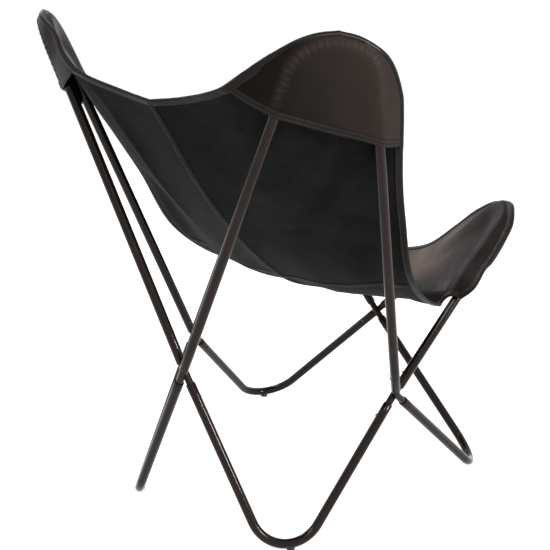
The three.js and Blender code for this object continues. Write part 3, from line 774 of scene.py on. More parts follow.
def make_glide_plastic():
    """Moulded black plastic, scuffed where it slides on the floor."""
    nodes = Finish("glide_plastic", (0.018, 0.018, 0.018), 0.6)
    over_floor = nodes.add("ShaderNodeSeparateXYZ", {"Vector": nodes.place}).outputs["Z"]
    low = nodes.ramp(over_floor, 0.0, 0.0012, 1.0, 0.0)
    scuff = nodes.math("MULTIPLY", low, nodes.ramp(nodes.noise(nodes.place, 900.0), 0.4, 0.6))
    return nodes.dress(
        nodes.noise(nodes.place, 2200.0, 2.0),
        0.4,
        0.00006,
        Base_Color=nodes.colour(scuff, (0.014, 0.014, 0.0145), (0.07, 0.068, 0.065)),
        Roughness=nodes.ramp(nodes.noise(nodes.place, 500.0), 0.3, 0.7, 0.5, 0.66),
    )


# the last colour is a painted highlight, laid on the seat's front
GRAIN_SIDE = make_leather(
    "grain_side",
    (0.0118, 0.009, 0.0079),
    (0.019, 0.0146, 0.0129),
    0.36,
    gloss=0.02,
    rubbed_and_highlight=(0.15, 0.11, 0.098),
)
# painted light: lighter and browner towards the chair's sides, and a painted highlight over the tube's bend
POCKET_SIDE = make_leather(
    "pocket_leather",
    (0.0052, 0.0045, 0.0039),
    (0.0084, 0.0072, 0.0062),
    0.4,
    gloss=0.05,
    painted_side_light=(0.039, 0.0285, 0.0245),
    rubbed_and_highlight=(0.05, 0.037, 0.033),
)
BINDING_SIDE = make_leather(
    "binding_leather", (0.012, 0.0092, 0.0082), (0.0188, 0.0146, 0.0132), 0.42, [STITCH_INSET]
)
HEM_SIDE = make_leather(
    "hem_leather", (0.0105, 0.0084, 0.0072), (0.0168, 0.0134, 0.0116), 0.44, HEM_STITCHES
)
TAPE_SIDE = make_leather(
    "tape_leather", (0.006, 0.006, 0.0063), (0.0098, 0.0098, 0.0104), 0.62, [TAPE_STITCH_INSET], 0.07
)
SUEDE = make_suede()
CUT_EDGE = make_fibrous(
    "cut_edge",
    (0.02, 0.018, 0.016),
    (900.0, 4.0, 0.7),
    (0.008, 0.007, 0.006),
    (0.021, 0.018, 0.015),
    0.45,
    0.65,
    0.5,
)
THREAD = make_fibrous(
    "thread",
    (0.05, 0.045, 0.04),
    (2600.0, 2.0, 0.6),
    (0.016, 0.014, 0.0125),
    (0.036, 0.032, 0.028),
    0.45,
    0.62,
    0.6,
)
TUBE_COAT = make_powder_coat("powder_coat", (0.0085, 0.0064, 0.0055), (0.0145, 0.0112, 0.0097), 0.135)
ROD_COAT = make_powder_coat("rod_coat", (0.0095, 0.0074, 0.0063), (0.0155, 0.0122, 0.0106), 0.16)
BUTTON_METAL = make_button_metal()
GLIDE_PLASTIC = make_glide_plastic()


def finished(obj, name, materials, body, replaced=()):
    """Names a piece, dresses it and sets it on its CAD body."""
    named(obj, name)
    if materials:
        obj.data.materials.clear()
        for material in materials:
            obj.data.materials.append(material)
    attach(obj, body)
    if replaced:
        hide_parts(*replaced)
    return obj


# Frame
TUBE_SIDES = 40
BEND_STEPS = 26


def make_tube(name, tube):
    obj = swept(tube["run"], TUBE_RADIUS, TUBE_SIDES, BEND_STEPS)
    modify(obj, "SOLIDIFY", thickness=TUBE_WALL * MM, offset=-1)
    round_edges(obj, 0.35, 2)
    for button in tube["buttons"]:
        cut(obj, button_hole(button))
    smoothed(obj)
    return finished(obj, f"frame_tube_{name}", [TUBE_COAT], "chair", [f"tube_{name}"])


def make_cross(cross):
    rods = []
    for layer in ("near", "far"):
        tips, holes = [], []
        for tube in TUBES.values():
            for end, (name, end_layer) in enumerate(tube["ends"]):
                if name != cross or end_layer != layer:
                    continue
                tips.append(tube["hubs"][end] + tube["arms"][end] * (tube["mouths"][end] + SPIGOT_INSERT))
                holes.append(tube["buttons"][end])
        run = BentRun(tips[0], rod_point(cross, layer), tips[1], ROD_BEND_RADIUS)
        rod = swept(run, ROD_RADIUS, 32, 8)
        modify(rod, "SOLIDIFY", thickness=TUBE_WALL * MM, offset=-1)
        for button in holes:
            cut(rod, button_hole(button))
        rods.append(rod)
    joined(*rods, make_weld(cross))
    smoothed(rods[0])
    return finished(rods[0], f"frame_cross_{cross}", [ROD_COAT], "chair", [f"cross_{cross}"])


def make_weld(cross):
    """The weld bead round the place where the two rods cross."""
    near, far = rod_point(cross, "near"), rod_point(cross, "far")
    deselect()
    bpy.ops.mesh.primitive_torus_add(
        major_segments=28,
        minor_segments=10,
        major_radius=BEAD_REACH * MM,
        minor_radius=BEAD_RADIUS * MM,
        location=Vector(in_row((near + far) / 2)),
        rotation=turned_to(near - far),
    )
    bead = placed()
    places = np.array([v.co for v in bead.data.vertices])
    middle = places.mean(0)
    spokes = places - middle
    sideways = unit(np.cross(near - far, [0.3, 0.4, 1.0]))
    turn = np.arctan2(spokes @ sideways, spokes[:, 2])
    ripple = 1 + BEAD_RIPPLE * np.sin(BEAD_RIPPLES * turn)
    bead.data.vertices.foreach_set("co", (middle + spokes * ripple[:, None]).astype(np.float32).ravel())
    return bead


def make_button(tube_name, button):
    """A domed pin on its flat spring leaf."""
    base = button["at"] + button["outward"] * BUTTON_START
    top = button["at"] + button["outward"] * (TUBE_RADIUS + BUTTON_PROUD)
    pin = cylinder(in_row(base), in_row(top), BUTTON_RADIUS * MM, 24)
    open_whole()
    bpy.ops.mesh.select_all(action="DESELECT")
    bpy.ops.mesh.select_mode(type="FACE")
    close_edit()
    outward = Vector(button["outward"])
    for face in pin.data.polygons:
        face.select = face.normal.dot(outward) > 0.9
    bpy.ops.object.mode_set(mode="EDIT")
    bpy.ops.mesh.bevel(offset=BUTTON_DOME * MM, segments=5, affect="EDGES")
    close_edit()
    leaf_middle = button["at"] + button["outward"] * LEAF_DISTANCE + button["along"] * LEAF_SHIFT
    deselect()
    bpy.ops.mesh.primitive_cube_add(size=1)
    leaf = bpy.context.object
    sideways = np.cross(button["outward"], button["along"])
    ways = (sideways, button["outward"], button["along"])
    turn = Matrix([way * size for way, size in zip(ways, LEAF_SIZE)]).transposed().to_4x4()
    leaf.data.transform(Matrix.Translation(Vector(in_row(leaf_middle))) @ Matrix.Scale(MM, 4) @ turn)
    round_edges(leaf, 0.2, 2)
    joined(pin, leaf)
    smoothed(pin, 40)
    node = f"button_{tube_name}_at_{button['cross']}"
    return finished(pin, f"snap_{node}", [BUTTON_METAL], node, [node])


def make_glide(name, tube):
    low = tube["run"].lowest()
    floor, top = np.array([[low[0], low[1], height] for height in (0.0, GLIDE_HEIGHT + GLIDE_CUP)])
    pad = cylinder(in_row(floor), in_row(top), GLIDE_RADIUS * MM, 48)
    round_edges(pad, 0.7, 3)
    around = swept(tube["run"], TUBE_RADIUS + GLIDE_FIT, 48, 40)
    close_ends(around)
    cut(pad, around)
    smoothed(pad)
    return finished(pad, f"foot_glide_{name}", [GLIDE_PLASTIC], "chair", [f"glide_{name}"])


for tube_name, tube in TUBES.items():
    make_tube(tube_name, tube)
    for button in tube["buttons"]:
        make_button(tube_name, button)
    if "foot" in tube:
        make_glide(tube_name, tube)
for cross in CROSSINGS:
    make_cross(cross)


# Sling surface: the same hanging sheet as the CAD's, drawn finer


class SmoothCurve:
    """A smooth curve through points, read by share of its length."""

    def __init__(self, points):
        points = np.array(points, float)
        ends = np.vstack([2 * points[0] - points[1], points, 2 * points[-1] - points[-2]])
        shares = np.linspace(0, 1, 80, endpoint=False)[:, None]
        samples = []
        for i in range(len(points) - 1):
            p0, p1, p2, p3 = ends[i : i + 4]
            d0, d1, d2 = (np.linalg.norm(b - a) ** 0.5 for a, b in ((p0, p1), (p1, p2), (p2, p3)))
            leave = ((p1 - p0) / d0 - (p2 - p0) / (d0 + d1) + (p2 - p1) / d1) * d1
            arrive = ((p2 - p1) / d1 - (p3 - p1) / (d1 + d2) + (p3 - p2) / d2) * d1
            square = -3 * p1 + 3 * p2 - 2 * leave - arrive
            cube = 2 * p1 - 2 * p2 + leave + arrive
            samples.append(p1 + leave * shares + square * shares**2 + cube * shares**3)
        self.points = np.vstack([*samples, points[-1:]])
        self.length = reach_along(self.points)

    def __call__(self, share):
        return read_at(np.clip(share, 0, 1) * self.length[-1], self.length, self.points)


class CornerFrame:
    """A pocket corner's own frame, on the left: across towards the side edge, down, and outside."""

    def __init__(self, tube_name, side):
        tube = TUBES[tube_name]
        ends = [tube["hubs"][0], tube["corner"], tube["hubs"][1]]
        start, corner, end = ends if side > 0 else [mirrored(p) for p in ends]
        run = BentRun(start, corner, end, tube["radius"])
        chord = end - start
        self.centre, self.down, self.half_angle = run.centre, run.down, run.half_angle
        self.across = unit(chord - run.down * (chord @ run.down))
        self.outside = np.cross(self.across, run.down)
        if self.outside[0] < 0:
            self.outside = -self.outside
        self.basis = np.array([self.across, self.down, self.outside])
        self.outline = None

    def point(self, shares):
        return self.centre + np.array(shares) * OUTLINE_RADIUS @ self.basis

    def local(self, points):
        return (points - self.centre) @ self.basis.T

    def world(self, local):
        return self.centre + local @ self.basis

    def from_tube(self, across, down):
        """Distance in the corner's plane from its tube's middle line, positive outside the bend."""
        cos, sin = math.cos(self.half_angle), math.sin(self.half_angle)
        past = (np.abs(across) - TOP_BEND_RADIUS * cos) * sin + (down + TOP_BEND_RADIUS * sin) * cos
        on_bend = np.hypot(across, down) - TOP_BEND_RADIUS
        on_leg = (np.abs(across) - TOP_BEND_RADIUS * cos) * cos - (down + TOP_BEND_RADIUS * sin) * sin
        return np.where(past < 0, on_bend, on_leg)


def taut_height(over, distance, seam_distance, seam_height):
    """Height over the tube's middle plane of leather pulled taut from a seam over the round tube."""
    reach = np.hypot(seam_distance, seam_height)
    touch = np.arctan2(seam_height, seam_distance) + np.arccos(np.clip(over / np.maximum(reach, 1e-6), -1, 1))
    touch_distance = over * np.cos(touch)
    share = np.clip((distance - touch_distance) / np.maximum(seam_distance - touch_distance, SHEET_GAP), 0, 1)
    straight = lerp(over * np.sin(touch), seam_height, share)
    rounded = np.sqrt(np.maximum(over**2 - distance**2, 0))
    return np.where(distance <= 0, over, np.where(distance < touch_distance, rounded, straight))


def bump_between(x, low, high):
    inside = (x > low) & (x < high)
    return np.where(inside, np.sin(np.pi * (x - low) / (high - low)) ** 2, 0)


def ridge(places, line, reach, crest, height):
    """Height of a ridge along a line of places: soft flanks, a rounded crest and ends that fade out."""
    line = np.array(line, float)
    steps = np.linalg.norm(np.diff(line, axis=0), axis=1)
    passed = np.concatenate([[0], np.cumsum(steps)])
    best = np.full(places.shape[:-1], np.inf)
    share_along = np.zeros_like(best)
    for a, b, size, before in zip(line[:-1], line[1:], steps, passed):
        share = np.clip((places - a) @ (b - a) / size**2, 0, 1)
        away = np.linalg.norm(places - a - share[..., None] * (b - a), axis=-1)
        closer = away < best
        best = np.where(closer, away, best)
        share_along = np.where(closer, (before + share * size) / passed[-1], share_along)
    profile = np.exp(-(np.hypot(best, crest) - crest) / reach * 1.4)
    fade = np.sin(np.pi * np.clip(share_along, 0, 1)) ** 0.7
    return height * profile * fade


OUTLINE_SAMPLES = 260


class SlingHalf:
    """Half of the sling, laid out on the left: s runs from the centre seam out, and t from back to front."""

    def __init__(self, side_name):
        self.side_name = side_name
        self.side = 1 if side_name == "left" else -1
        self.back = CornerFrame(f"top_back_{side_name}", self.side)
        self.front = CornerFrame(f"top_front_{side_name}", self.side)
        self.back_tip = self.back.point(POCKET_TIP)
        self.front_tip = self.front.point(POCKET_TIP)
        self.back_middle = np.array([0, BACK_EDGE[0], BACK_EDGE[1]])
        self.front_middle = np.array([0, -FRONT_EDGE[0], FRONT_EDGE[1]])
        back_scale = np.array([BACK_PEAK[0], BACK_EDGE[0], BACK_EDGE[1]])
        front_scale = np.array([FRONT_PEAK[0], -FRONT_EDGE[0], FRONT_EDGE[1]])
        side_scale = np.array([SIDE_CROSS[0], BACK_CROSS[1], BACK_EDGE[1]])
        self.back_edge = SmoothCurve(
            [self.back_middle]
            + [np.array(p) * back_scale for p in BACK_EDGE_SHARES]
            + [self.back.point(p) for p in BACK_POCKET_MIDDLE]
            + [self.back_tip]
        )
        self.front_edge = SmoothCurve(
            [self.front_middle]
            + [np.array(p) * front_scale for p in FRONT_EDGE_SHARES]
            + [self.front.point(p) for p in FRONT_POCKET_MIDDLE]
            + [self.front_tip]
        )
        self.side_edge = SmoothCurve(
            [self.back_tip]
            + [self.back.point(p) for p in BACK_POCKET_OUTER]
            + [np.array(p) * side_scale for p in SIDE_EDGE_SHARES]
            + [self.front.point(p) for p in reversed(FRONT_POCKET_OUTER)]
            + [self.front_tip]
        )
        self.middle_line = SmoothCurve(
            [self.back_middle]
            + [np.array([0, y, z]) * self.back_middle for y, z in MIDDLE_LINE]
            + [self.front_middle]
        )

    def hanging(self, s, t):
        s, t = np.broadcast_arrays(np.asarray(s, float), np.asarray(t, float))
        middle, side = self.middle_line(t), self.side_edge(t)
        back, front = self.back_edge(s), self.front_edge(s)
        share = np.stack([s, s * s, s * s], -1)
        to_front = eased(t)[..., None]
        between = lerp(middle, side, share)
        back_rise = back - lerp(self.back_middle, self.back_tip, share)
        front_rise = front - lerp(self.front_middle, self.front_tip, share)
        point = between + back_rise * (1 - to_front) + front_rise * to_front
        belly = SEAT_BELLY * np.sin(np.pi * s**BELLY_OUTWARD) * bump_between(t, BELLY_START, 1)
        point[..., 2] -= belly
        for corner, tip, rounding, from_cap in (
            (self.back, self.back_tip, BACK_TIP_ROUNDING, t),
            (self.front, self.front_tip, FRONT_TIP_ROUNDING, 1 - t),
        ):
            reach = np.hypot((1 - s) * HALF_GIRTH, from_cap * SLING_LENGTH) / TIP_REACH
            point = point + unit(corner.centre - tip) * rounding * np.exp(-(reach**2))[..., None]
        return point

    def seam_near(self, corner, across, down):
        """How far a place in a corner's plane is from the outline, and how proud the outline is there."""
        if corner.outline is None:
            cap = 0 if corner is self.back else 1
            u = np.linspace(0, 1, OUTLINE_SAMPLES)
            edge = corner.local(self.hanging(u, np.full_like(u, cap)))
            sides = corner.local(self.hanging(np.ones_like(u), np.abs(cap - u / 2)))
            corner.outline = np.vstack([edge, sides[1:]])
            corner.outline_breaks = len(edge) - 1
        starts = corner.outline[:-1]
        ends = corner.outline[1:].copy()
        ends[corner.outline_breaks] = starts[corner.outline_breaks]
        flat = np.stack([across.ravel(), down.ravel()], -1)
        best = np.full(len(flat), np.inf)
        proud = np.zeros(len(flat))
        for a, b in zip(starts, ends):
            step = (b - a)[:2]
            size = max(float(step @ step), 1e-9)
            share = np.clip((flat - a[:2]) @ step / size, 0, 1)
            away = np.hypot(*(flat - a[:2] - share[:, None] * step).T)
            closer = away < best
            best = np.where(closer, away, best)
            proud = np.where(closer, a[2] + (b[2] - a[2]) * share, proud)
        return best.reshape(across.shape), proud.reshape(across.shape)

    def point(self, s, t):
        """The surface, held off the tubes on the sitter's side."""
        s, t = np.broadcast_arrays(np.asarray(s, float), np.asarray(t, float))
        hanging = self.hanging(s, t)
        result = hanging.copy()
        for corner, chosen in ((self.back, t < CROSS_SEAM), (self.front, t >= CROSS_SEAM)):
            local = corner.local(hanging)
            across, down, proud = local[..., 0], local[..., 1], local[..., 2]
            distance = corner.from_tube(across, down)
            chosen = chosen & (distance >= -3 * INNER_LIFT) & (distance <= OUTLINE_RADIUS * 1.5)
            if not chosen.any():
                continue
            away, seam_proud = np.zeros_like(proud), np.zeros_like(proud)
            away[chosen], seam_proud[chosen] = self.seam_near(corner, across[chosen], down[chosen])
            over = SHEET_TO_TUBE + (STRIP + 2) * eased(np.minimum(t, 1 - t) / (1 - SEAT_HEM_T))
            needed = taut_height(over, distance, distance + away, -seam_proud)
            needed = needed * np.exp(-((np.minimum(distance, 0) / INNER_LIFT) ** 2))
            blend = LIFT_BLEND * np.minimum(away / OUTLINE_RADIUS, 1)
            height = (needed - proud + np.hypot(needed + proud, blend)) / 2
            moved = hanging + corner.outside * (-height - proud)[..., None]
            result = np.where(chosen[..., None], moved, result)
        return result

    def on_side(self, points):
        return points if self.side > 0 else mirrored(points)

    def creased(self, s, t):
        """The surface with the folds and slack of use, pushed out away from the sitter."""
        s, t = np.broadcast_arrays(np.asarray(s, float), np.asarray(t, float))
        places = np.stack([s * HALF_GIRTH, t * SLING_LENGTH], -1)
        relief = np.zeros_like(s)
        for line, reach, crest, height in FOLDS[self.side_name]:
            relief = relief + ridge(places, np.array(line) * (HALF_GIRTH, SLING_LENGTH), reach, crest, height)
        turn = 0.7 if self.side > 0 else 2.9
        waves = np.sin(5.1 * s + 9.7 * t + turn) * np.sin(12.3 * t - 4.2 * s + turn)
        relief = relief + WAVE_HEIGHT * waves * np.sin(np.pi * np.clip(s / 0.9, 0, 1))
        calm = 1 - eased((s - CALM_FROM) / CALM_BAND)
        calm = np.maximum(calm, LAST_FOLDS * (1 - eased((s - LAST_FROM) / LAST_BAND)))
        in_from_caps = eased(np.minimum(t, 1 - t) / CAP_BAND)
        return self.point(s, t) + self.hanging_normal(s, t) * (relief * calm * in_from_caps)[..., None]

    def hanging_normal(self, s, t):
        step = 0.004
        s = np.clip(s, step, 1 - 2 * step)
        t = np.clip(t, 2 * step, 1 - 2 * step)
        along_s = self.hanging(s + step, t) - self.hanging(s - step, t)
        along_t = self.hanging(s, t + step) - self.hanging(s, t - step)
        return unit(np.cross(along_s, along_t))

    def pocket(self, at_back, along, inward):
        """A pocket's middle surface: along runs round the outline past the tip, inward from it to the hem."""
        corner = self.back if at_back else self.front
        hem_t = BACK_HEM_T if at_back else 1 - SEAT_HEM_T
        along, inward = np.broadcast_arrays(along, inward)
        before = np.clip(1 - 2 * along, 0, 1)
        after = np.clip(2 * along - 1, 0, 1)
        edge_s = 1 - (1 - HEM_S) * before
        edge_t = hem_t * after
        bend = np.pi / 2 * along
        hem_s = 1 - (1 - HEM_S) * np.cos(bend) ** HEM_ROUND
        hem_rise = hem_t * np.sin(bend) ** HEM_ROUND
        s = lerp(edge_s, hem_s, inward)
        rise = lerp(edge_t, hem_rise, inward)
        t = rise if at_back else 1 - rise
        sheet = self.point(s, t)
        local = corner.local(sheet)
        across, down, proud = local[..., 0], local[..., 1], local[..., 2]
        distance = corner.from_tube(across, down)
        away, seam_proud = self.seam_near(corner, across, down)
        past_flange = np.maximum(away - FLANGE, 0)
        wrapped = taut_height(POCKET_TO_TUBE, distance, distance + past_flange, seam_proud + POCKET_LAYER)
        wrapped = np.where(away > FLANGE, wrapped, -1e3)
        sink = LOOP_SINK * eased(-distance / LOOP_REACH)
        height = np.maximum(wrapped - sink, proud + POCKET_LAYER)
        flat = np.stack([across, down], -1)
        name = "back" if at_back else "front"
        for start, end, reach, crest, rise in POCKET_CREASES[name, self.side_name]:
            height = height + ridge(flat, [start, end], reach, crest, rise)
        turn = np.arctan2(across, -down) * TOP_BEND_RADIUS / PUCKER_PITCH * 2 * np.pi
        gathers = np.sin(turn) + 0.6 * np.sin(1.7 * turn + 1.1)
        on_slope = np.exp(-(((distance - GATHER_AT) / GATHER_WIDTH) ** 2))
        above = np.clip(1.1 - down / GATHER_DEPTH, 0, 1) * (down < GATHER_DEPTH)
        gathered = on_slope * above * eased(away / GATHER_CLEAR)
        height = height + PUCKER_HEIGHT * gathers * gathered
        # painted highlight along the slope over the tube's bend, brighter on the gathers' crests
        painted_highlight = gathered * (0.7 + 0.19 * gathers)
        return corner.world(np.stack([across, down, height], -1)), painted_highlight


HALVES = {name: SlingHalf(name) for name in ("left", "right")}


def sheet_from(name, points, flip, thickness, faces, attributes, replaced=(), rim_round=0.28):
    """A curved sheet: a flat grid moved on to its surface, given its thickness, and its rim rounded.

    Faces are the materials of its upper side, its lower side and its cut edge.
    """
    rows, columns = points.shape[:2]
    deselect()
    bpy.ops.mesh.primitive_grid_add(x_subdivisions=columns - 1, y_subdivisions=rows - 1, size=1)
    obj = bpy.context.object
    mesh = obj.data
    mesh.vertices.foreach_set("co", in_row(points).astype(np.float32).ravel())
    for key, values in attributes.items():
        attribute = mesh.attributes.new(key, "FLOAT", "POINT")
        attribute.data.foreach_set("value", values.astype(np.float32).ravel())
    for material in faces:
        mesh.materials.append(material)
    open_whole()
    bpy.ops.mesh.remove_doubles(threshold=0.00002)
    if flip:
        bpy.ops.mesh.flip_normals()
    close_edit()
    modify(
        obj,
        "SOLIDIFY",
        thickness=thickness * MM,
        offset=0,
        use_quality_normals=True,
        material_offset=1,
        material_offset_rim=2,
    )
    round_edges(obj, thickness * rim_round, 2)
    smoothed(obj, 50)
    return finished(obj, name, None, "chair", replaced)


def make_strip(
    name, grid, upwards, across, passed, thickness, material, replaced=(), rim_round=0.28
):
    """A strip of leather whose grid runs along it row by row.

    Across is each column's distance from the sewn edge, and passed each row's distance along the strip.
    """
    facing = np.cross(grid[0, 1] - grid[0, 0], grid[1, 0] - grid[0, 0]) @ upwards
    distances = {
        "trim_across": np.broadcast_to(across, grid.shape[:2]) * MM,
        "trim_along": np.broadcast_to(passed[:, None], grid.shape[:2]) * MM,
    }
    faces = [material, SUEDE, CUT_EDGE]
    obj = sheet_from(name, grid, facing < 0, thickness, faces, distances, replaced, rim_round)


def stations(count, ends=1.0):
    """Shares from 0 to 1, crowded towards both ends where ends is below 1."""
    u = np.linspace(0, 1, count + 1)
    return lerp(u, eased(u), 1 - ends)


class Surface:
    """A sheet's middle surface, for finding the nearest place and normal on it."""

    def __init__(self, grids):
        corners, faces = [], []
        for grid, outwards in grids:
            rows, columns = grid.shape[:2]
            first = len(corners)
            corners.extend(map(Vector, grid.reshape(-1, 3)))
            numbers = np.arange(rows * columns).reshape(rows, columns) + first
            quads = np.stack([numbers[:-1, :-1], numbers[1:, :-1], numbers[1:, 1:], numbers[:-1, 1:]], -1)
            quads = quads.reshape(-1, 4)
            middle = grid[rows // 2, columns // 2]
            along = grid[rows // 2 + 1, columns // 2] - middle
            across = grid[rows // 2, columns // 2 + 1] - middle
            if np.cross(along, across) @ outwards < 0:
                quads = quads[:, ::-1]
            faces.extend(quads.tolist())
        self.tree = BVHTree.FromPolygons(corners, faces)

    def nearest(self, points):
        found = [self.tree.find_nearest(Vector(p)) for p in points]
        return np.array([f[0] for f in found]), np.array([f[1] for f in found])


def walked(surface, line, hints, distances):
    """Walks over a surface from each place on a line, square to the line and towards its hint."""
    tangents = unit(blurred(np.gradient(line, axis=0), 2))
    _, normals = surface.nearest(line + unit(hints) * 2)
    normals = unit(blurred(normals, 3))
    heading = unit(blurred(unit(square_to(square_to(hints, tangents), normals)), 4))
    first_heading = heading
    rows, all_normals, place = [line], [normals], line
    for step in np.diff(distances):
        place, normals = surface.nearest(place + heading * step)
        normals = unit(blurred(normals, 3))
        heading = unit(blurred(unit(square_to(heading, normals)), 2))
        rows.append(place)
        all_normals.append(normals)
    return np.stack(rows, 1), np.stack(all_normals, 1), first_heading


def blurred(values, reach, axis=0):
    """A running average along one axis, with the ends held."""
    kernel = np.hanning(2 * reach + 3)[1:-1]
    kernel /= kernel.sum()
    pad = [(0, 0)] * values.ndim
    pad[axis] = (reach, reach)
    padded = np.pad(values, pad, mode="edge")
    return np.apply_along_axis(lambda row: np.convolve(row, kernel, mode="valid"), axis, padded)


def smooth_normals(normals):
    return unit(blurred(blurred(normals, 2, 0), 1, 1))


def spaced(line, pitch):
    """A line's places again, a steady pitch apart."""
    reach = reach_along(line)
    count = max(int(round(reach[-1] / pitch)), 2)
    return read_at(np.linspace(0, reach[-1], count + 1), reach, line)


# Main panels
PANEL_COLUMNS_FINE = 100
BACK_ROWS_FINE = 130
SEAT_ROWS_FINE = 108
SEAM_GAP_SHARE = 0.0006
# where the painted highlight lies on the seat: from and over what share of the length, and the same across
HIGHLIGHT_LENGTH = (0.78, 0.12)
HIGHLIGHT_WIDTH = (0.74, 0.42)
panel_grids = []
for side_name, half in HALVES.items():
    s = stations(PANEL_COLUMNS_FINE, 0.6)
    s = s + SEAM_GAP_SHARE * (1 - s)
    back_t = (CROSS_SEAM - SEAM_GAP_SHARE / 2) * stations(BACK_ROWS_FINE, 0.6)
    seat_t = lerp(CROSS_SEAM + SEAM_GAP_SHARE / 2, 1, stations(SEAT_ROWS_FINE, 0.6))
    for part, t in (("back", back_t), ("seat", seat_t)):
        grid_s, grid_t = np.meshgrid(s, t)
        points = half.on_side(half.creased(grid_s, grid_t))
        outwards = np.array([0.0, 1.0, -0.3]) if part == "back" else np.array([0.0, 0.0, -1.0])
        panel_grids.append((points, outwards))
        # painted highlight along the seat's front, strongest towards the centre seam
        painted_highlight = eased((grid_t - HIGHLIGHT_LENGTH[0]) / HIGHLIGHT_LENGTH[1])
        painted_highlight = painted_highlight * eased((HIGHLIGHT_WIDTH[0] - grid_s) / HIGHLIGHT_WIDTH[1])
        name, replaced = f"leather_{part}_{side_name}", [f"sling_{part}_{side_name}"]
        faces = [SUEDE, GRAIN_SIDE, CUT_EDGE]
        obj = sheet_from(name, points, half.side < 0, LEATHER, faces, {"painted_highlight": painted_highlight}, replaced)
sling_surface = Surface(panel_grids)

POCKET_ALONG = 180
POCKET_INWARD = 64
pocket_surfaces = {}
for side_name, half in HALVES.items():
    for part in ("back", "front"):
        along, inward = np.meshgrid(stations(POCKET_ALONG, 0.7), stations(POCKET_INWARD, 0.3))
        points, painted_highlight = half.pocket(part == "back", along, inward)
        points = half.on_side(points)
        corner = half.back if part == "back" else half.front
        outside = half.on_side(corner.outside)
        flip = (half.side < 0) == (part == "back")
        name, replaced = f"leather_pocket_{part}_{side_name}", [f"pocket_{part}_{side_name}"]
        faces = [POCKET_SIDE, SUEDE, CUT_EDGE]
        obj = sheet_from(name, points, flip, POCKET_LEATHER, faces, {"painted_highlight": painted_highlight}, replaced)
        pocket_surfaces[part, side_name] = (Surface([(points, outside)]), points, outside)

# Trim: bindings folded over every outer edge, turned hems on the pockets and tapes over the seams
STATION_PITCH = 3.6
BINDING_STEPS = np.array([0.0, 1.9, 3.8, 5.7, 7.6, BINDING_WIDTH])
ROUND_STEPS = 5
TRIM_GAP = 0.12
EDGE_SAMPLES = 700
# shares by which a pocket's binding runs past its hem, across and along
LAP_ACROSS = 0.004
LAP_ALONG = 0.002
# a pocket lies under the binding where it is this near and this far above the sheet
UNDER_ASIDE = 2.6
UNDER_RISE = (1, 14)
# the bindings round half of the sling, from the back edge's middle on, and what each is sewn to
TRIMMED = {
    "strip_back": "back",
    "pocket_back": "back",
    "strip_side": "seat",
    "pocket_front": "seat",
    "strip_front": "seat",
}
stitch_rows = {}


def at_distance(rows, distances, at):
    """Reads rows of places, given at steps from an edge, at another distance from it."""
    k = int(np.clip(np.searchsorted(distances, at) - 1, 0, len(distances) - 2))
    share = (at - distances[k]) / (distances[k + 1] - distances[k])
    return lerp(rows[:, k], rows[:, k + 1], share)


def add_stitches(kind, rows, ups, distances, at):
    """Notes a row of stitches at one distance from an edge, on a surface that faces up there."""
    row = (at_distance(rows, distances, at), at_distance(ups, distances, at))
    stitch_rows.setdefault(kind, []).append(row)


def folded_trim(name, outer, inner, rim_direction, thickness, material, steps, replaced=()):
    """A strip folded over an edge: its outer face, its round fold and its inner face."""
    middle = (outer[:, :1] + inner[:, :1]) / 2
    half_stack = (outer[:, :1] - inner[:, :1]) / 2
    bulge = np.linalg.norm(half_stack, axis=-1, keepdims=True) * 0.4 + 0.4
    turn = np.linspace(0, np.pi, ROUND_STEPS + 2)[1:-1][None, :, None]
    fold = middle + half_stack * np.cos(turn) + rim_direction[:, None] * bulge * np.sin(turn)
    grid = np.concatenate([outer[:, ::-1], fold, inner], axis=1)
    across = np.concatenate([steps[0][::-1], np.zeros(ROUND_STEPS), steps[1]])
    upwards = outer[0, 0] - inner[0, 0]
    passed = reach_along(outer[:, 0])
    make_strip(
        name, grid, upwards, across, passed, thickness, material, replaced
    )


def stack_heights(rows, normals, surfaces):
    """How high above the sheet's middle the outermost leather lies, with room for the binding to bridge."""
    heights = np.full(rows.shape[:2], LEATHER / 2)
    for surface, _, outside in surfaces:
        flat = rows.reshape(-1, 3)
        ups = normals.reshape(-1, 3)
        near, _ = surface.nearest(flat)
        rise = ((near - flat) * ups).sum(-1)
        aside = np.linalg.norm(near - flat - ups * rise[:, None], axis=-1)
        under = (aside < UNDER_ASIDE) & (rise > UNDER_RISE[0]) & (rise < UNDER_RISE[1])
        under = under & (ups @ outside > 0)
        top = np.where(under, rise + POCKET_LEATHER / 2, LEATHER / 2).reshape(heights.shape)
        heights = np.maximum(heights, top)
    padded = np.pad(heights, ((2, 2), (0, 0)), mode="edge")
    highest = np.max([padded[k : k + len(heights)] for k in range(5)], axis=0)
    return blurred(highest, 2)


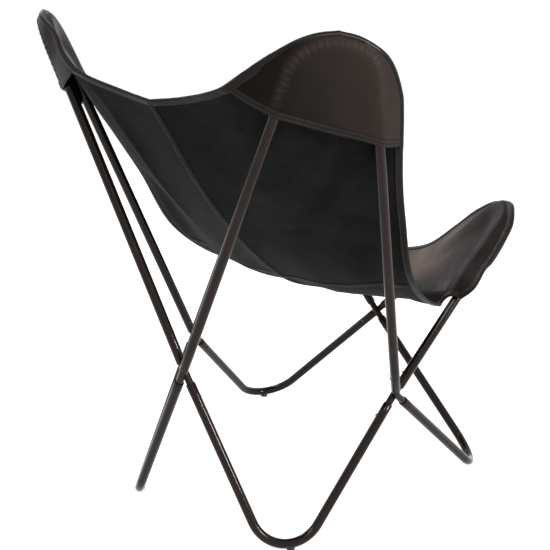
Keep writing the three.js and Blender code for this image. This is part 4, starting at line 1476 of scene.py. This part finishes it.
for side_name, half in HALVES.items():
    # out along the back edge, down the side edge and in along the front edge
    u = np.linspace(0, 1, EDGE_SAMPLES)
    ones = np.ones(EDGE_SAMPLES - 1)
    outward, inward = SEAM_GAP_SHARE + (1 - SEAM_GAP_SHARE) * u, 1 - (1 - SEAM_GAP_SHARE) * u
    s_line = np.concatenate([outward, ones, inward[1:]])
    t_line = np.concatenate([0 * u, u[1:], ones])
    inner_s = np.clip(s_line, 0.0, 0.9)
    inner_t = np.clip(t_line, 0.1, 0.9)
    line = half.on_side(half.creased(s_line, t_line))
    inside = half.on_side(half.creased(inner_s, inner_t))
    packed = np.concatenate([line, inside - line, s_line[:, None], t_line[:, None]], 1)
    reach = reach_along(line)
    packed = read_at(np.linspace(0, reach[-1], int(reach[-1] / STATION_PITCH) + 1), reach, packed)
    line, hints, s_at, t_at = packed[:, :3], packed[:, 3:6], packed[:, 6], packed[:, 7]
    for corner in (half.back, half.front):
        towards = half.on_side(corner.centre) - line
        weight = np.clip(2.2 - np.linalg.norm(towards, axis=1) / OUTLINE_RADIUS, 0, 1)[:, None]
        hints = lerp(unit(hints), unit(towards), weight)
    rows, normals, heading = walked(sling_surface, line, hints, BINDING_STEPS)
    normals = smooth_normals(normals)
    surfaces = [pocket_surfaces[part, side_name] for part in ("back", "front")]
    heights = stack_heights(rows, normals, surfaces)
    raised = (TRIM_GAP + BINDING_THICKNESS / 2 + heights)[..., None]
    lowered = TRIM_GAP + BINDING_THICKNESS / 2 + LEATHER / 2
    outer, inner = rows + normals * raised, rows - normals * lowered
    ends = [
        int(np.argmax(s_at > HEM_S - LAP_ACROSS)),
        int(np.argmax(t_at > BACK_HEM_T + LAP_ALONG)),
        int(np.argmax(t_at > SEAT_HEM_T - LAP_ALONG)),
        int(np.argmax((t_at > 0.999) & (s_at < HEM_S - LAP_ACROSS))),
    ]
    spans = [0, *ends, len(line) - 1]
    for title, a, b in zip(TRIMMED, spans[:-1], spans[1:]):
        piece = slice(a, b + 1)
        is_strip = title.startswith("strip")
        folded_trim(
            f"leather_binding_{title.replace('strip', 'edge')}_{side_name}",
            outer[piece],
            inner[piece],
            -heading[piece],
            BINDING_THICKNESS,
            BINDING_SIDE,
            (BINDING_STEPS, BINDING_STEPS),
            [f"{title}_{side_name}"] if is_strip else (),
        )
    lift = BINDING_THICKNESS / 2
    add_stitches("binding", outer + normals * lift, normals, BINDING_STEPS, STITCH_INSET)
    add_stitches("binding", inner - normals * lift, -normals, BINDING_STEPS, STITCH_INSET)

# Pocket hems, turned under and sewn with two rows
HEM_STEPS = np.array([0.0, 1.2, 2.6, 4.4, 6.2, 8.0, HEM_WIDTH])
HEM_UNDER = 3
for (part, side_name), (surface, points, outside) in pocket_surfaces.items():
    line = spaced(points[-1], STATION_PITCH)[3:-3]
    hints = spaced(points[-8], STATION_PITCH)
    shares = [np.linspace(0, 1, len(places)) for places in (line, hints)]
    hints = read_at(*shares, hints) - line
    rows, normals, heading = walked(surface, line, hints, HEM_STEPS)
    normals = smooth_normals(normals)
    if (normals @ outside).mean() < 0:
        normals = -normals
    off = POCKET_LEATHER / 2 + TRIM_GAP + HEM_THICKNESS / 2
    outer, inner = rows + normals * off, rows[:, :HEM_UNDER] - normals[:, :HEM_UNDER] * off
    folded_trim(
        f"leather_hem_{part}_{side_name}",
        outer,
        inner,
        -heading,
        HEM_THICKNESS,
        HEM_SIDE,
        (HEM_STEPS, HEM_STEPS[:HEM_UNDER]),
    )
    tops = outer + normals * HEM_THICKNESS / 2
    for inset in HEM_STITCHES:
        add_stitches("hem", tops, normals, HEM_STEPS, inset)


def flat_tape(name, line, hints, width, inset):
    """A tape over a seam on the flesh side, with a stitch row near each edge and again on the grain side."""
    steps = np.linspace(0, width / 2, 4)
    sides = [walked(sling_surface, line, hints * way, steps) for way in (1, -1)]
    rows = np.concatenate([sides[1][0][:, :0:-1], sides[0][0]], axis=1)
    normals = smooth_normals(np.concatenate([sides[1][1][:, :0:-1], sides[0][1]], axis=1))
    from_middle = np.linspace(-width / 2, width / 2, rows.shape[1])
    crown = SEAM_CROWN * np.cos(np.pi * from_middle / width)
    off = LEATHER / 2 + TRIM_GAP + SEAM_TAPE_THICKNESS / 2 + crown
    grid = rows + normals * off[None, :, None]
    across = width / 2 - np.abs(from_middle)
    passed = reach_along(line)
    thickness = SEAM_TAPE_THICKNESS
    make_strip(
        name, grid, normals[0, 0], across, passed, thickness, TAPE_SIDE, rim_round=0.4
    )
    tops, grain = grid + normals * SEAM_TAPE_THICKNESS / 2, rows - normals * LEATHER / 2
    for at in (inset, width - inset):
        add_stitches("seam", tops, normals, from_middle + width / 2, at)
        add_stitches("seam", grain, -normals, from_middle + width / 2, at)


# how far the tapes stay back from the bindings
TAPE_END_GAP = 0.6
t = np.linspace(0.0, 1.0, 900)
centre = HALVES["left"].creased(0 * t, t)
centre[:, 0] = 0
reach = reach_along(centre)
end = BINDING_WIDTH + TAPE_END_GAP
centre = spaced(centre[(reach > end) & (reach < reach[-1] - end)], STATION_PITCH)
sideways = np.tile([1.0, 0, 0], (len(centre), 1))
flat_tape("leather_seam_centre", centre, sideways, CENTRE_TAPE_WIDTH, TAPE_STITCH_INSET)
for side_name, half in HALVES.items():
    s = np.linspace(0.0, 1.0, 500)
    line = half.on_side(half.creased(s, 0 * s + CROSS_SEAM))
    ahead = half.on_side(half.creased(s, 0 * s + CROSS_SEAM + 0.02))
    reach = reach_along(line)
    inside = (reach > CENTRE_TAPE_WIDTH / 2 + 0.5) & (reach < reach[-1] - end)
    packed = spaced(np.concatenate([line, ahead - line], 1)[inside], STATION_PITCH)
    line, ahead = packed[:, :3], packed[:, 3:]
    flat_tape(f"leather_seam_cross_{side_name}", line, ahead, CROSS_TAPE_WIDTH, CROSS_STITCH_INSET)


def stitch_model():
    """One stitch, lying along X with its back up along Z: its ends dip into the leather."""
    deselect()
    bpy.ops.mesh.primitive_uv_sphere_add(segments=6, ring_count=5, radius=1, rotation=(0, math.pi / 2, 0))
    obj = placed()
    points = np.array([v.co for v in obj.data.vertices])
    points[:, 0] = np.sign(points[:, 0]) * np.abs(points[:, 0]) ** 0.8 * STITCH_LENGTH / 2
    points[:, 1] *= STITCH_RADIUS
    points[:, 2] *= STITCH_RADIUS
    points[:, 2] += STITCH_RISE - STITCH_SAG * (2 * points[:, 0] / STITCH_LENGTH) ** 2 * STITCH_RADIUS
    faces = [list(face.vertices) for face in obj.data.polygons]
    bpy.data.objects.remove(obj)
    return points, faces


def sew(name, rows):
    """Copies the one stitch along rows of places, each copy turned to its row and its surface."""
    shape, shape_faces = stitch_model()
    corners, faces = [], []
    for line, ups in rows:
        packed = spaced(np.concatenate([line, ups], 1), STITCH_PITCH / 2)[1::2]
        line, ups = packed[:, :3], packed[:, 3:]
        forward = unit(np.gradient(line, axis=0))
        ups = unit(square_to(ups, forward))
        aside = np.cross(ups, forward)
        for place, x, y, z in zip(line, forward, aside, ups):
            first = len(corners) * len(shape)
            corners.append(place + shape @ np.array([x, y, z]))
            faces.extend([[i + first for i in face] for face in shape_faces])
    mesh = bpy.data.meshes.new(name)
    mesh.from_pydata(in_row(np.concatenate(corners)).tolist(), [], faces)
    obj = bpy.data.objects.new(name, mesh)
    bpy.context.collection.objects.link(obj)
    smoothed(obj, 80)
    finished(obj, name, [THREAD], "chair", ())


for kind, rows in stitch_rows.items():
    sew(f"stitches_{kind}", rows)


# Studio


def lamp(name, place, target, size, power):
    deselect()
    bpy.ops.object.light_add(type="AREA", location=place)
    obj = bpy.context.object
    obj.name = name
    obj.data.shape = "RECTANGLE"
    obj.data.size, obj.data.size_y = size
    obj.data.energy = power
    obj.rotation_euler = (Vector(target) - Vector(place)).to_track_quat("-Z", "Y").to_euler()
    return obj


def seen_rays(nodes):
    """1 for the rays that show a thing in the picture, straight or mirrored, and 0 for the others."""
    path = nodes.add("ShaderNodeLightPath").outputs
    mirrored_rays = nodes.math("MAXIMUM", path["Is Glossy Ray"], path["Is Transmission Ray"])
    return nodes.math("MAXIMUM", path["Is Camera Ray"], mirrored_rays)


def make_floor():
    deselect()
    bpy.ops.mesh.primitive_plane_add(size=60, location=(0, 0, 0))
    floor = named(bpy.context.object, "floor")
    material = bpy.data.materials.new("floor")
    material.use_nodes = True
    material.node_tree.nodes.clear()
    nodes = Nodes(material.node_tree)
    diffuse = nodes.add("ShaderNodeBsdfDiffuse", {"Color": (0.8, 0.8, 0.8, 1)}).outputs[0]
    glow = nodes.add("ShaderNodeEmission", {"Color": (1, 1, 1, 1), "Strength": 0.72}).outputs[0]
    both = nodes.add("ShaderNodeAddShader", {0: diffuse, 1: glow}).outputs[0]
    mix = nodes.add("ShaderNodeMixShader", {0: seen_rays(nodes), 1: diffuse, 2: both}).outputs[0]
    nodes.add("ShaderNodeOutputMaterial", {"Surface": mix})
    floor.data.materials.append(material)


def make_world():
    world = bpy.data.worlds.new("studio")
    bpy.context.scene.world = world
    world.use_nodes = True
    world.node_tree.nodes.clear()
    nodes = Nodes(world.node_tree)
    strength = nodes.ramp(seen_rays(nodes), 0.0, 1.0, 0.42, 1.0)
    background = nodes.add("ShaderNodeBackground", {"Color": (1, 1, 1, 1), "Strength": strength})
    nodes.add("ShaderNodeOutputWorld", {"Surface": background.outputs[0]})


# the camera that the photograph was fitted with: its place, and its right, upward and backward ways
CAMERA_PLACE = (-1114.43, 1520.63, 982.17)
CAMERA_WAYS = (
    Vector((-0.79507, -0.60646, 0.00826)),
    Vector((0.18862, -0.23429, 0.95369)),
    Vector((-0.57644, 0.75982, 0.30066)),
)
CAMERA_LENS = 71.95


def make_camera():
    deselect()
    bpy.ops.object.camera_add()
    camera = bpy.context.object
    camera.name = "camera"
    turn = Matrix(CAMERA_WAYS).transposed().to_4x4()
    camera.matrix_world = Matrix.Translation(Vector(in_row(CAMERA_PLACE))) @ turn
    camera.data.sensor_width = 36
    camera.data.lens = CAMERA_LENS
    bpy.context.scene.camera = camera


make_floor()
make_world()
make_camera()
lamp("top", (0.0, 1.4, 2.7), (0, 0, 0.6), (2.6, 0.35), 30)
lamp("front", (2.3, -1.32, 1.88), (0, 0, 0.4), (0.7, 0.7), 24)
lamp("side", (2.6, 1.1, 1.2), (0, 0, 0.7), (1.0, 1.6), 8)
lamp("rear", (-2.6, 1.9, 1.3), (0, 0, 0.6), (1.0, 1.6), 6)
lamp("edge", (-2.9, -0.1, 1.05), (0, 0, 0.4), (0.3, 0.4), 48)
bpy.context.scene.view_settings.view_transform = "Standard"

deselect()
bpy.context.view_layer.update()
